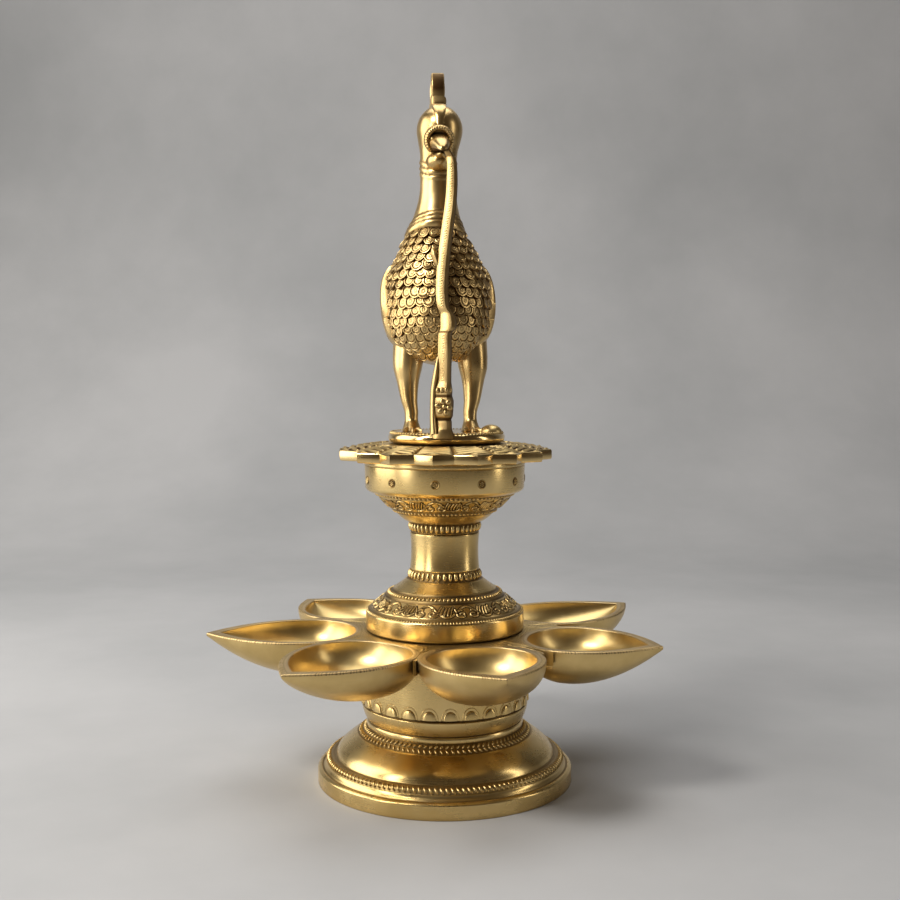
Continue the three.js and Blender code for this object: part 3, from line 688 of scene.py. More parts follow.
@dataclass
class Outline:
    """The profile of a turned piece: radius, height and patina, from point to point."""

    base: float = 0.0
    rows: list[tuple[float, float, float]] = field(default_factory=list)
    patina: float = 0.0

    def to(self, *points: tuple[float, float]) -> "Outline":
        """Straight runs to the given points of radius and height over the base."""
        self.rows.extend((r, self.base + z, self.patina) for r, z in points)
        return self

    def bend(self, via: tuple[float, float], end: tuple[float, float], steps: int = 8) -> "Outline":
        """A smooth curve that is drawn towards one point and ends in another.

        Args:
            via: the point that it is drawn towards.
            end: where it ends.
            steps: how many runs it is made of.

        Returns:
            The outline itself.
        """
        r0, z0, _ = self.rows[-1]
        for i in range(1, steps + 1):
            t = i / steps
            a, b, c = (1 - t) ** 2, 2 * t * (1 - t), t * t
            height = a * z0 + b * (self.base + via[1]) + c * (self.base + end[1])
            self.rows.append((a * r0 + b * via[0] + c * end[0], height, self.patina))
        return self

    def shade(self, patina: float) -> "Outline":
        """Sets the patina of the points that follow."""
        self.patina = patina
        return self

    def softened(self, radius: float = 0.35) -> np.ndarray:
        """The profile with its corners taken off.

        Args:
            radius: how far from a corner its rounding starts, in mm.

        Returns:
            An array of radius, height and patina.
        """
        rows = np.array(self.rows)
        keep = [rows[0]]
        for before, here, after in zip(rows[:-2], rows[1:-1], rows[2:]):
            back, on = before[:2] - here[:2], after[:2] - here[:2]
            length = (np.linalg.norm(back), np.linalg.norm(on))
            if min(length) < 1e-6:
                continue
            bent = 180 - math.degrees(math.acos(np.clip(back @ on / (length[0] * length[1]), -1, 1)))
            if bent < 25:
                keep.append(here)
                continue
            reach = [min(radius, 0.4 * size) for size in length]
            start = np.append(here[:2] + back / length[0] * reach[0], here[2])
            end = np.append(here[:2] + on / length[1] * reach[1], here[2])
            for t in (0.0, 0.33, 0.67, 1.0):
                keep.append((1 - t) ** 2 * start + 2 * t * (1 - t) * here + t * t * end)
        keep.append(rows[-1])
        return np.array(keep)

    def turned(self, sides: int = SIDES, radius: float = 0.35) -> Sheet:
        """The closed turned piece.

        Args:
            sides: faces round it.
            radius: how far from a corner its rounding starts.

        Returns:
            The piece as a sheet.
        """
        rows = self.softened(radius)
        angles = round_angles(sides)
        ring = unit_ring(angles)
        points = np.empty((len(rows), sides, 3))
        points[..., :2] = rows[:, None, :1] * ring[None]
        points[..., 2] = rows[:, 1:2]
        return net(points, around=True, along=True, patina=rows[:, 2:3])


def dome(across: float, tall: float, proud: float, tilt: float = 0.0, rings: int = 3, sides: int = 10,
         rim: float = 0.7) -> Sheet:
    """A bead: half an ellipsoid that stands out along x.

    Args:
        across: half its size along the ring.
        tall: half its size up the ring.
        proud: how far it stands out.
        tilt: degrees that it is turned in its own plane.
        rings: steps from the edge to the top.
        sides: steps round it.
        rim: patina at its edge.

    Returns:
        The bead as a sheet.
    """
    sheet = Sheet()
    rows, dark = [], []
    angles = round_angles(sides)
    cosine, sine = math.cos(math.radians(tilt)), math.sin(math.radians(tilt))
    for i in range(rings + 1):
        lift = math.pi / 2 * i / (rings + 0.4)
        y, z = across * math.cos(lift) * np.cos(angles), tall * math.cos(lift) * np.sin(angles)
        x = np.full(sides, proud * (math.sin(lift) - (0.25 if i == 0 else 0)))
        rows.append(np.stack([x, y * cosine - z * sine, y * sine + z * cosine], 1))
        dark.append([rim if i == 0 else 0.12 * rim if i == 1 else 0.0] * sides)
    sheet.grid(np.array(rows), around=True, patina=np.array(dark))
    sheet.add(rows[-1], [tuple(range(sides))])
    return sheet


def ridge(path: Sequence[tuple[float, float]], width: float, proud: float,
          place: Callable[[float, float, float], tuple[float, float, float]], taper: float = 0.35) -> Sheet:
    """A raised line drawn on a surface.

    Args:
        path: points of the line, along and up the surface.
        width: its width in mm.
        proud: how far it stands out.
        place: turns (along, up, out) into a point in space.
        taper: width at its ends, as a share of the width.

    Returns:
        The line as a sheet.
    """
    line = np.array(path, float)
    step = np.gradient(line, axis=0)
    step /= np.maximum(np.linalg.norm(step, axis=1, keepdims=True), 1e-9)
    side = np.stack([-step[:, 1], step[:, 0]], 1)
    share = np.linspace(0, 1, len(line))
    size = taper + (1 - taper) * np.clip(np.minimum(share, 1 - share) * 5, 0, 1)
    section = ((-0.5, -0.1, 0.8), (-0.26, 0.75, 0.1), (0.0, 1.0, 0.0), (0.26, 0.75, 0.1), (0.5, -0.1, 0.8))
    points = np.empty((len(line), len(section), 3))
    for i, (at, normal, wide) in enumerate(zip(line, side, size)):
        for j, (across, out, _) in enumerate(section):
            along, up = at + normal * across * width * wide
            points[i, j] = place(along, up, out * proud * (0.4 + 0.6 * wide))
    return net(points, patina=np.array([[dark for _, _, dark in section]] * len(line)))


@dataclass(frozen=True)
class Cone:
    """A band of a turned piece that ornament is laid on, from its lower to its upper edge."""

    low: tuple[float, float]
    high: tuple[float, float]

    @property
    def slant(self) -> float:
        """Width of the band in mm."""
        return math.dist(self.low, self.high)

    @property
    def middle(self) -> float:
        """Mean radius in mm."""
        return (self.low[0] + self.high[0]) / 2

    def place(self, along: float, up: float, out: float) -> tuple[float, float, float]:
        """A point on or off the band.

        Args:
            along: distance along the band.
            up: distance up it.
            out: distance out from it.

        Returns:
            The point, from the lamp's axis.
        """
        t = up / self.slant
        dr, dz = self.high[0] - self.low[0], self.high[1] - self.low[1]
        sign = 1.0 if dz > 0 else -1.0
        radius = self.low[0] + dr * t + sign * dz / self.slant * out
        z = self.low[1] + dz * t - sign * dr / self.slant * out
        angle = along / self.middle
        return radius * math.cos(angle), radius * math.sin(angle), z


Relief = Callable[[np.ndarray, np.ndarray], tuple[np.ndarray, np.ndarray]]


def tile(cone: Cone, count: int, columns: int, rows: int, relief: Relief, depth: float = 1.4) -> Sheet:
    """One tile of a chased band, to be repeated round it.

    Args:
        cone: the band.
        count: how many tiles close the ring.
        columns: faces along the tile.
        rows: faces up the tile.
        relief: turns places along and up the tile, in mm, into heights and patina.
        depth: how far the tile's back lies under its surface.

    Returns:
        The tile, drawn where the band's first one lies.
    """
    length = 2 * math.pi * cone.middle / count
    along, up = np.meshgrid(np.linspace(0, length, columns + 1), np.linspace(0, cone.slant, rows + 1))
    height, dark = relief(along, up)
    points = np.empty((rows + 3, columns + 1, 3))
    shade = np.zeros((rows + 3, columns + 1))
    shade[1:-1] = dark
    for i in range(rows + 3):
        k = min(max(i - 1, 0), rows)
        for j in range(columns + 1):
            out = height[k, j] if 0 < i < rows + 2 else -depth
            points[i, j] = cone.place(along[k, j], up[k, j], out)
    return net(points, along=True, patina=shade)


def nearest(x: np.ndarray, y: np.ndarray, line: np.ndarray) -> np.ndarray:
    """Distance from places to a drawn line.

    Args:
        x: the places along.
        y: the places up.
        line: the line's points.

    Returns:
        An array of distances, shaped as the places.
    """
    a, b = line[:-1], line[1:]
    step = b - a
    size = np.maximum((step**2).sum(1), 1e-12)
    rel = np.stack([x[..., None] - a[:, 0], y[..., None] - a[:, 1]], -1)
    t = np.clip((rel * step).sum(-1) / size, 0, 1)
    return np.hypot(rel[..., 0] - t * step[:, 0], rel[..., 1] - t * step[:, 1]).min(-1)


def smooth(value: np.ndarray, low: float, high: float) -> np.ndarray:
    """An eased step from 0 at low to 1 at high."""
    t = np.clip((value - low) / (high - low), 0, 1)
    return t * t * (3 - 2 * t)


@dataclass(frozen=True)
class Scroll:
    """A running leaf scroll: a waving stem with curls in its arches and hatched leaves in its bowls.

    Args:
        cone: the band that it is chased on.
        waves: how many waves go round.
        stem: half-width of the stem in mm.
        line: width of the punched outline in mm.
        proud: how far the stem stands out.
        cut: how deep the outline is.
    """

    cone: Cone
    waves: int
    stem: float = 0.44
    line: float = 0.42
    proud: float = 0.40
    cut: float = 0.50

    def _lines(self) -> list[tuple[np.ndarray, float]]:
        """The stem, curls and leaf strokes of one wave.

        Returns:
            Each line with its half-width.
        """
        length, wide = 2 * math.pi * self.cone.middle / self.waves, self.cone.slant
        s = np.linspace(-0.25, 1.25, 90)
        lines = [(np.stack([s * length, wide * (0.5 + 0.36 * np.cos(2 * math.pi * s))], 1), self.stem)]
        for flip in (-1, 1):
            for base in (0.0, 1.0):
                turn = np.linspace(0, 1, 34)
                size = wide * (0.27 - 0.19 * turn)
                angle = math.pi * (0.55 - 2.3 * turn)
                x = (base + 0.15 * flip) * length + flip * 1.15 * size * np.cos(angle)
                lines.append((np.stack([x, wide * 0.34 + size * np.sin(angle)], 1), 0.85 * self.stem))
                leaf = np.array([[0.275, 0.46], [0.30, 0.62], [0.345, 0.82]])
                stroke = np.stack([(base + flip * leaf[:, 0]) * length, leaf[:, 1] * wide], 1)
                lines.append((stroke, 0.7 * self.stem))
        for k in range(4):
            foot = 0.5 + 0.082 * (k - 1.9)
            x = np.array([foot, foot + 0.016, foot + 0.06]) * length
            low = 0.27 + 0.05 * abs(k - 1.5)
            y = np.array([low, low + 0.22, low + 0.44]) * wide
            lines.append((np.stack([x, y], 1), 0.8 * self.stem))
        return lines

    def relief(self, along: np.ndarray, up: np.ndarray) -> tuple[np.ndarray, np.ndarray]:
        """The carved surface of one tile.

        Args:
            along: places along the band.
            up: places up it.

        Returns:
            Heights and patina.
        """
        wide = self.cone.slant
        height, dark = np.zeros_like(along), np.full_like(along, 0.08)
        inside = np.zeros_like(along)
        for line, half in self._lines():
            gap = nearest(along, up, line)
            body = 1 - smooth(gap, 0.55 * half, half)
            groove = (1 - smooth(np.abs(gap - half - self.line / 2), 0.3 * self.line, 0.75 * self.line))
            inside = np.maximum(inside, body)
            height = np.maximum(height, self.proud * body) - self.cut * groove * (1 - inside)
            dark = np.maximum(dark, 0.95 * groove) * (1 - 0.9 * body)
        edge = np.minimum(up, wide - up)
        border = 1 - smooth(edge, 0.1, 0.35)
        height = np.maximum(height * smooth(edge, 0.0, 0.5), -self.cut) - 0.3 * border
        dark = np.maximum(dark, 0.7 * border)
        return height, np.clip(dark, 0, 1)

    def mesh(self, finish: Finish, phase: float) -> bpy.types.Mesh:
        """The whole band."""
        sheet = tile(self.cone, self.waves, round(1400 / self.waves), 34, self.relief)
        return REPEATS.ring(sheet, finish, self.waves, phase=phase, joined=True)


@dataclass(frozen=True)
class Arches:
    """Flat-footed bosses in a row, each under its own arch.

    Args:
        cone: the band.
        count: how many go round.
        half: half-width of a boss in mm.
        tall: its height in mm.
        proud: how far it stands out.
    """

    cone: Cone
    count: int
    half: float = 3.0
    tall: float = 4.0
    proud: float = 0.8

    def relief(self, along: np.ndarray, up: np.ndarray) -> tuple[np.ndarray, np.ndarray]:
        """The carved surface of one tile.

        Args:
            along: places along the band.
            up: places up it.

        Returns:
            Heights and patina.
        """
        length = 2 * math.pi * self.cone.middle / self.count
        x, z = along - length / 2, up - 0.25
        reach = np.hypot(x / self.half, z / self.tall)
        reach = np.where(z < 0, np.maximum(reach, 1.0 - 4 * z), reach)
        boss = self.proud * np.clip(1 - reach**2.4, 0, 1) ** 0.42
        groove = smooth(reach, 0.92, 0.99) * (1 - smooth(reach, 1.12, 1.20))
        arch = smooth(reach, 1.16, 1.22) * (1 - smooth(reach, 1.27, 1.33))
        outer = smooth(reach, 1.29, 1.34) * (1 - smooth(reach, 1.42, 1.50))
        between = (1 - smooth(np.abs(np.abs(x) - length / 2), 0.12, 0.3)) * (1 - smooth(z, 2.2, 2.8))
        height = boss - 0.3 * groove + 0.22 * arch - 0.22 * outer - 0.2 * between
        dark = np.clip(np.maximum.reduce([groove, 0.85 * outer, 0.8 * between, 0.9 * (z < 0)]), 0.05, 1)
        return height, dark

    def mesh(self, finish: Finish, phase: float) -> bpy.types.Mesh:
        """The whole band."""
        sheet = tile(self.cone, self.count, 44, 32, self.relief)
        return REPEATS.ring(sheet, finish, self.count, phase=phase, joined=True)


def rosette() -> Sheet:
    """A small punched flower: a ring, a middle and six petals.

    Returns:
        The flower as a sheet.
    """
    sheet = Sheet()
    rows, dark = [], []
    radius, sides = 1.9, 16
    angles = round_angles(sides)
    steps = ((1.04, -0.1, 1.0), (0.98, 0.08, 1.0), (0.86, 0.3, 0.0), (0.72, 0.06, 1.0), (0.4, 0.04, 1.0))
    for share, out, shade in steps:
        rows.append(np.column_stack([np.full(sides, out), radius * share * unit_ring(angles)]))
        dark.append([shade] * sides)
    sheet.grid(np.array(rows), around=True, patina=np.array(dark))
    sheet.add(rows[-1], [tuple(range(sides))], 0.9)
    petal = dome(0.34, 0.42, 0.3, rings=2, sides=7, rim=0.9)
    for k in range(6):
        place = Matrix.Rotation(k * math.pi / 3, 4, "X") @ offset(0.02, 0, 0.82)
        sheet.merge(petal, place)
    sheet.merge(dome(0.36, 0.36, 0.34, rings=2, sides=8, rim=0.9), offset(0.02, 0, 0))
    return sheet


@dataclass
class Piece:
    """One section of the lamp: where it rides and what it stands for."""

    section: Section
    nodes: tuple[str, ...]
    finish: Finish

    def put(self, name: str, shape: Union[Sheet, bpy.types.Mesh], finish: Optional[Finish] = None,
            crease: float = 50.0) -> bpy.types.Object:
        """Adds a shape to the scene as part of this section.

        Args:
            name: the piece's name.
            shape: a sheet or a finished mesh.
            finish: its brass, if not the section's.
            crease: edges sharper than this, in degrees, stay sharp.

        Returns:
            The new object.
        """
        mesh = shape.mesh(name) if isinstance(shape, Sheet) else shape
        mesh.name = name
        return finished(name, mesh, finish or self.finish, self.section, self.nodes, crease)

    def repeat(self, name: str, motif: Sheet, count: int, radius: float, height: float, lean: float,
               phase: float = 0.0) -> None:
        """Repeats a motif round this section, as Repeats.ring does, and adds the ring to the scene."""
        self.put(name, REPEATS.ring(motif, self.finish, count, radius, height, lean, phase))

    def build(self) -> None:
        """Makes the section's pieces."""
        raise NotImplementedError


@dataclass
class Foot(Piece):
    """The hollow turned foot with its chased bands."""

    height: float = 59.7

    def build(self) -> None:
        """Makes the bell, its chain ring, its herringbone and the bosses of its neck."""
        top = self.height
        shape = Outline().to((52.4, 0.0), (55.6, 0.0), (55.6, 6.2), (54.6, 7.0), (53.9, 7.1))
        shape.shade(0.6).to((53.6, 6.8), (53.2, 6.8)).shade(0.05).to((52.9, 7.3))
        shape.bend((52.0, 8.0), (51.9, 9.0), 4).shade(0.5).to((51.5, 9.2), (51.2, 10.9), (49.2, 11.8))
        shape.shade(0.6).to((48.4, 11.5), (47.8, 11.6)).shade(0.0).to((47.5, 12.1))
        shape.bend((47.0, 14.6), (43.9, 17.0), 6).bend((41.0, 19.4), (38.5, 21.0), 6)
        shape.shade(0.4).to((38.2, 21.1)).shade(0.6).to((37.7, 21.0), (33.9, 24.0))
        shape.shade(0.5).to((33.5, 24.3)).shade(0.0).to((34.2, 24.5)).bend((34.6, 25.8), (34.1, 26.8), 4)
        shape.shade(0.8).to((33.6, 27.0), (33.7, 27.4)).shade(0.0).to((34.2, 27.5))
        shape.bend((35.9, 30.4), (36.3, 33.6), 8).shade(0.85).to((35.7, 34.0), (35.7, 34.4)).shade(0.0)
        shape.to((36.2, 34.6), (36.2, 46.0), (36.3, top - 0.4), (35.9, top), (4.4, top), (4.4, top - 3.6))
        shape.to((33.1, top - 3.6), (33.1, 34.2), (30.6, 24.4)).bend((44.0, 16.2), (46.2, 7.4), 8)
        shape.to((52.4, 4.4))
        self.put("foot_bell", shape.turned())
        chain = dome(0.62, 1.45, 0.85, tilt=24)
        chain.merge(dome(0.30, 0.42, 0.75, rings=2, sides=7), offset(0.1, 0.95, -1.25))
        self.repeat("foot_chain_ring", chain, 142, 50.6, 10.6, lean=-48)
        band = Cone((37.8, 21.1), (33.9, 24.1))
        lean = -math.degrees(math.atan2(band.low[0] - band.high[0], band.high[1] - band.low[1]))
        for name, share, tilt in (("lower", 0.26, 32), ("upper", 0.74, -32)):
            radius = band.low[0] + (band.high[0] - band.low[0]) * share
            height = band.low[1] + (band.high[1] - band.low[1]) * share
            leaf = dome(0.50, 1.18, 0.55, tilt=tilt, sides=8)
            self.repeat(f"foot_herringbone_{name}", leaf, 98, radius, height, lean=lean)
        neck = Cone((36.15, 34.5), (36.15, 40.2))
        self.put("foot_bosses", Arches(neck, 26).mesh(self.finish, -93.0))


@dataclass
class Column(Piece):
    """The column: a flared flange with a scroll band, a cone and a waisted stem."""

    base: float = 66.3
    waves: int = 11
    phase: float = -104.0

    def build(self) -> None:
        """Makes the turned body and its chased rings."""
        z = self.base
        shape = Outline(z).to((30.5, 0), (33.9, 0), (34.5, 0.6), (34.5, 7.7), (34.1, 8.3))
        shape.shade(0.7).to((33.6, 8.5), (33.0, 9.1)).shade(0.5).to((32.3, 9.6))
        shape.shade(0.9).to((31.6, 9.4), (26.2, 14.2))
        shape.shade(0.8).to((25.9, 14.8), (25.7, 15.1)).shade(0.6).to((25.5, 15.5), (23.4, 17.0))
        shape.shade(0.8).to((22.9, 17.1), (22.7, 17.5)).shade(0.0).to((22.2, 18.0))
        shape.bend((18.8, 20.1), (16.9, 21.9), 7).shade(0.8).to((16.3, 22.1))
        shape.to((15.7, 22.6), (15.0, 25.6), (14.9, 26.1)).shade(0.0).to((15.1, 26.5))
        shape.bend((14.2, 34.5), (15.1, 42.2), 12).to((4.3, 42.2), (4.3, 29.7))
        shape.to((4.3, 15.5), (4.3, 0.3), (9.0, 0.3), (9.8, 14.5), (14.0, 16.5))
        shape.bend((22.4, 14.5), (30.5, 5.3), 8)
        self.put("column_body", shape.turned())
        teeth = dome(0.50, 0.80, 0.50, rings=2, sides=8, rim=1.0)
        self.repeat("column_bead_row", teeth, 160, 33.75, z + 8.35, lean=-45)
        band = Cone((32.3, z + 9.6), (26.3, z + 14.8))
        self.put("column_scroll", Scroll(band, self.waves).mesh(self.finish, self.phase))
        bead = dome(0.58, 1.10, 0.75, tilt=-28, sides=9, rim=1.0)
        self.repeat("column_bead_ring", bead, 88, 24.3, z + 16.2, lean=-54)
        flute = dome(0.92, 1.95, 1.05, rings=4, sides=10, rim=1.0)
        self.repeat("column_gadroons", flute, 40, 15.15, z + 24.2, lean=-14)


@dataclass
class Drum(Piece):
    """The bowl with its plain drum, open at the top round a post."""

    base: float = 108.8
    waves: int = 11
    phase: float = -98.0

    def build(self) -> None:
        """Makes the turned body, its chased rings and the row of punched flowers."""
        z = self.base
        shape = Outline(z).to((4.3, 0), (14.8, 0)).shade(0.8).to((14.9, 0.3), (15.2, 3.9), (16.0, 4.4))
        shape.shade(0.1).to((16.8, 4.9)).bend((18.6, 5.6), (20.9, 8.0), 5)
        shape.shade(0.7).to((21.3, 8.6), (22.3, 9.3), (23.2, 10.1)).shade(0.9).to((23.4, 10.6))
        shape.to((28.5, 15.9)).shade(0.7).to((29.3, 16.1), (30.3, 16.9))
        shape.shade(0.0).to((31.4, 17.2), (33.0, 17.8), (34.1, 18.6), (34.5, 19.6))
        shape.to((34.8, 28.9)).shade(0.35).to((34.6, 29.2)).shade(0.0).to((34.9, 29.5), (34.9, 31.3))
        shape.to((31.9, 31.3), (31.3, 20.6)).bend((29.5, 17.6), (16.4, 13.4), 6)
        shape.to((10.0, 12.8), (8.4, 14.2), (8.4, 31.3), (4.3, 31.3), (4.3, 18.8), (4.3, 12.5))
        self.put("drum_body", shape.turned())
        flute = dome(0.90, 1.9, 1.0, rings=4, sides=10, rim=1.0)
        self.repeat("drum_gadroons", flute, 42, 14.95, z + 2.3, lean=8)
        beads = dome(0.70, 0.66, 0.55, rings=2, sides=8, rim=1.0)
        self.repeat("drum_bead_row_low", beads, 79, 22.3, z + 9.4, lean=50)
        self.repeat("drum_bead_row_high", beads, 98, 29.9, z + 16.6, lean=48)
        band = Cone((23.9, z + 10.4), (29.2, z + 15.9))
        self.put("drum_scroll", Scroll(band, self.waves, 0.40, 0.38).mesh(self.finish, self.phase))
        self.repeat("drum_flowers", rosette(), 11, 34.62, z + 23.0, lean=2.6, phase=-96.3)


@dataclass
class Leaf:
    """A leaf-shaped hollow or shell along +X.

    Args:
        inner: distance of its inner end from the axis.
        widest: distance where it is widest.
        reach: distance of its tip.
        half: half its greatest width.
        depth: its greatest depth.
        tip: its depth at the tip.
    """

    inner: float
    widest: float
    reach: float
    half: float
    depth: float
    tip: float

    def at(self, distance: float) -> tuple[float, float]:
        """The leaf's section across, at a distance from the lamp's axis.

        Args:
            distance: where the section is.

        Returns:
            Half-width and depth.
        """
        if distance <= self.widest:
            u = (self.widest - distance) / (self.widest - self.inner)
            share = math.sqrt(max(0.0, 1 - u * u))
            return self.half * share, self.depth * share
        t = min(1.0, (distance - self.widest) / (self.reach - self.widest))
        return self.half * (1 - t ** 2.4), self.tip + (self.depth - self.tip) * (1 - t * t)

    def depth_at(self, x: float, y: float) -> float:
        """Depth of the surface below the rim.

        Args:
            x: distance from the axis.
            y: distance to the side.

        Returns:
            The depth in mm.
        """
        if not self.inner < x < self.reach:
            return self.tip if x >= self.reach else 0.0
        wide, deep = self.at(x)
        if wide < 1e-6:
            return self.tip
        return deep * max(0.0, 1 - (y / wide) ** 2) ** 0.425

    def rim(self, count: int) -> np.ndarray:
        """Points round the outline, closer together where it turns.

        Args:
            count: about how many.

        Returns:
            An array of X and Y.
        """
        steps, quarter = count // 4, math.pi / 2
        back, ahead = self.widest - self.inner, self.reach - self.widest
        inner = [self.widest - back * math.cos(a) for a in np.linspace(0, quarter, steps)]
        outer = [self.widest + ahead * math.sin(a) for a in np.linspace(0, quarter, steps + 1)]
        xs = np.array(inner + outer[1:])
        ys = np.array([self.at(x)[0] for x in xs])
        lower = np.stack([xs, -ys], 1)
        upper = np.stack([xs[::-1], ys[::-1]], 1)[1:-1]
        return np.concatenate([lower, upper])


@dataclass
class Tray(Piece):
    """Seven leaf-shaped cups in one casting with their hub."""

    top: float = 66.0
    turns: tuple[float, ...] = (185.6, 234.4, 284.4, 338.0, 34.0, 83.5, 135.0)
    reaches: tuple[float, ...] = (103.0, 103.0, 93.0, 96.5, 106.0, 99.0, 97.0)
    around: int = 112
    chisel: int = 680
    rim_steps: tuple[tuple[float, float], ...] = (
        (0.0, -0.7), (0.0, -0.3), (0.06, -0.04), (0.14, 0.05), (0.28, 0.05), (0.42, 0.05),
        (0.52, 0.02), (0.64, 0.05), (0.86, 0.05), (0.95, -0.02), (1.0, -0.22), (1.0, -0.6),
    )
    inner_rims: tuple[float, ...] = (0.0, 0.0, 1.1, 0.5, 0.0, 0.0, 0.0)

    def _leaves(self, index: int) -> tuple[Leaf, Leaf]:
        """The outside and the hollow of one cup.

        Args:
            index: which cup.

        Returns:
            The shell and the hollow.
        """
        reach, extra = self.reaches[index], self.inner_rims[index]
        shell = Leaf(36.2, 57.0, reach, 25.2, 18.2, 1.4)
        hollow = Leaf(38.8 + extra, 58.5, reach - 6.0, 22.5 - extra, 15.5, 0.7)
        return shell, hollow

    @staticmethod
    def _skin(leaf: Leaf, rim: np.ndarray, steps: int, inset: float) -> np.ndarray:
        """Rings from the rim down to the middle of a bowl.

        Args:
            leaf: the bowl's form.
            rim: its outline.
            steps: how many rings.
            inset: the least depth.

        Returns:
            Points in rings.
        """
        middle = np.array([leaf.widest + 2.0, 0.0])
        rings = []
        for share in np.sin(np.linspace(math.pi / 2, 0.0, steps)):
            flat = middle + (rim - middle) * share
            depth = np.array([leaf.depth_at(x, y) for x, y in flat])
            rings.append(np.column_stack([flat, -np.maximum(depth, inset)]))
        return np.array(rings)

    def _limits(self, index: int) -> tuple[float, float]:
        """Half-angles to the neighbours on both sides.

        Args:
            index: which cup.

        Returns:
            Two angles in radians.
        """
        here, count = self.turns[index], len(self.turns)
        before = (here - self.turns[index - 1]) % 360
        after = (self.turns[(index + 1) % count] - here) % 360
        return math.radians(before) / 2, math.radians(after) / 2

    def _clipped(self, points: np.ndarray, index: int) -> np.ndarray:
        """Keeps points on a cup's side of the planes between it and its neighbours.

        Args:
            points: an array of shape (..., 3).
            index: which cup.

        Returns:
            The moved points.
        """
        low, high = self._limits(index)
        out = points.copy()
        out[..., 1] = np.minimum(out[..., 1], out[..., 0] * math.tan(high))
        out[..., 1] = np.maximum(out[..., 1], -out[..., 0] * math.tan(low))
        return out

    def build(self) -> None:
        """Makes the cups, their rims and the hub."""
        bowls, hollows, rims = Sheet(), Sheet(), Sheet()
        for index, turn in enumerate(self.turns):
            shell, hollow = self._leaves(index)
            place = offset(0, 0, self.top) @ rotate(turn, "Z")
            outer, inner = shell.rim(self.around), hollow.rim(self.around)
            cup, inside, rim = Sheet(), Sheet(), Sheet()
            outside = self._skin(shell, outer, 18, 0.5)
            kept = self._clipped(outside, index)
            # Painted shade: the outside of a cup darkens where it is cut off against its neighbour, in the
            # cavity between the cups.
            soot_and_shade = smooth(np.linalg.norm(outside - kept, axis=2), 0.2, 2.5)
            cup.grid(kept, around=True, patina=0.9 * soot_and_shade)
            inside.grid(self._clipped(self._skin(hollow, inner, 18, 0.5), index), around=True)
            strip, marks = self._chiselled(shell, hollow)
            rim.grid(self._clipped(strip, index), around=True, patina=marks)
            bowls.merge(cup, place)
            hollows.merge(inside, place)
            rims.merge(rim, place)
        self.put("tray_cups", bowls, crease=40)
        self.put("tray_hollows", hollows, WORN, crease=40)
        self.put("tray_rims", rims, FILED, crease=60)
        self.put("tray_hub", self._hub())

    @staticmethod
    def _even(leaf: Leaf, count: int) -> np.ndarray:
        """Points at even steps along a leaf's outline, its tip among them.

        Args:
            leaf: the leaf.
            count: how many.

        Returns:
            An array of X and Y.
        """
        fine = leaf.rim(1200)
        half = fine[: int(np.argmax(fine[:, 0])) + 1]
        run = np.concatenate([[0], np.cumsum(np.linalg.norm(np.diff(half, axis=0), axis=1))])
        at = np.linspace(0, run[-1], count // 2 + 1)
        lower = np.stack([np.interp(at, run, half[:, 0]), np.interp(at, run, half[:, 1])], 1)
        upper = (lower * (1, -1))[::-1][1:-1]
        return np.concatenate([lower, upper])

    def _chiselled(self, shell: Leaf, hollow: Leaf) -> tuple[np.ndarray, np.ndarray]:
        """A rim with its chisel marks.

        Args:
            shell: the cup's outside.
            hollow: its hollow.

        Returns:
            Points and patina.
        """
        outer, inner = self._even(shell, self.chisel), self._even(hollow, self.chisel)
        place = np.arange(self.chisel)
        strip, marks = [], []
        for share, z in self.rim_steps:
            flat = outer + (inner - outer) * share
            mark = ((place + 0.9 * np.sin(place * 0.37)) / 5 + 0.8 * share) % 1.0 < 0.34
            firm = np.sin(place * 0.083) + np.sin(place * 0.031) > -0.2
            mark = mark * (share < 0.45) * (0.35 + 0.65 * firm)
            strip.append(np.column_stack([flat, z - 0.13 * mark]))
            marks.append(0.55 * mark + (0.30 if share == 0.52 else 0.0))
        return np.array(strip), np.array(marks)

    def _web(self, angle: float) -> float:
        """How far out the metal between two cups reaches.

        Args:
            angle: the direction in radians.

        Returns:
            The distance in mm.
        """
        for radius in np.arange(50.0, 64.0, 0.5):
            gaps = []
            for index, turn in enumerate(self.turns):
                shell, off = self._leaves(index)[0], angle - math.radians(turn)
                half = shell.at(radius * math.cos(off))[0]
                gaps.append(abs(radius * math.sin(off)) - half if math.cos(off) > 0 else 99.0)
            if min(gaps) > 1.0:
                return radius
        return 64.0

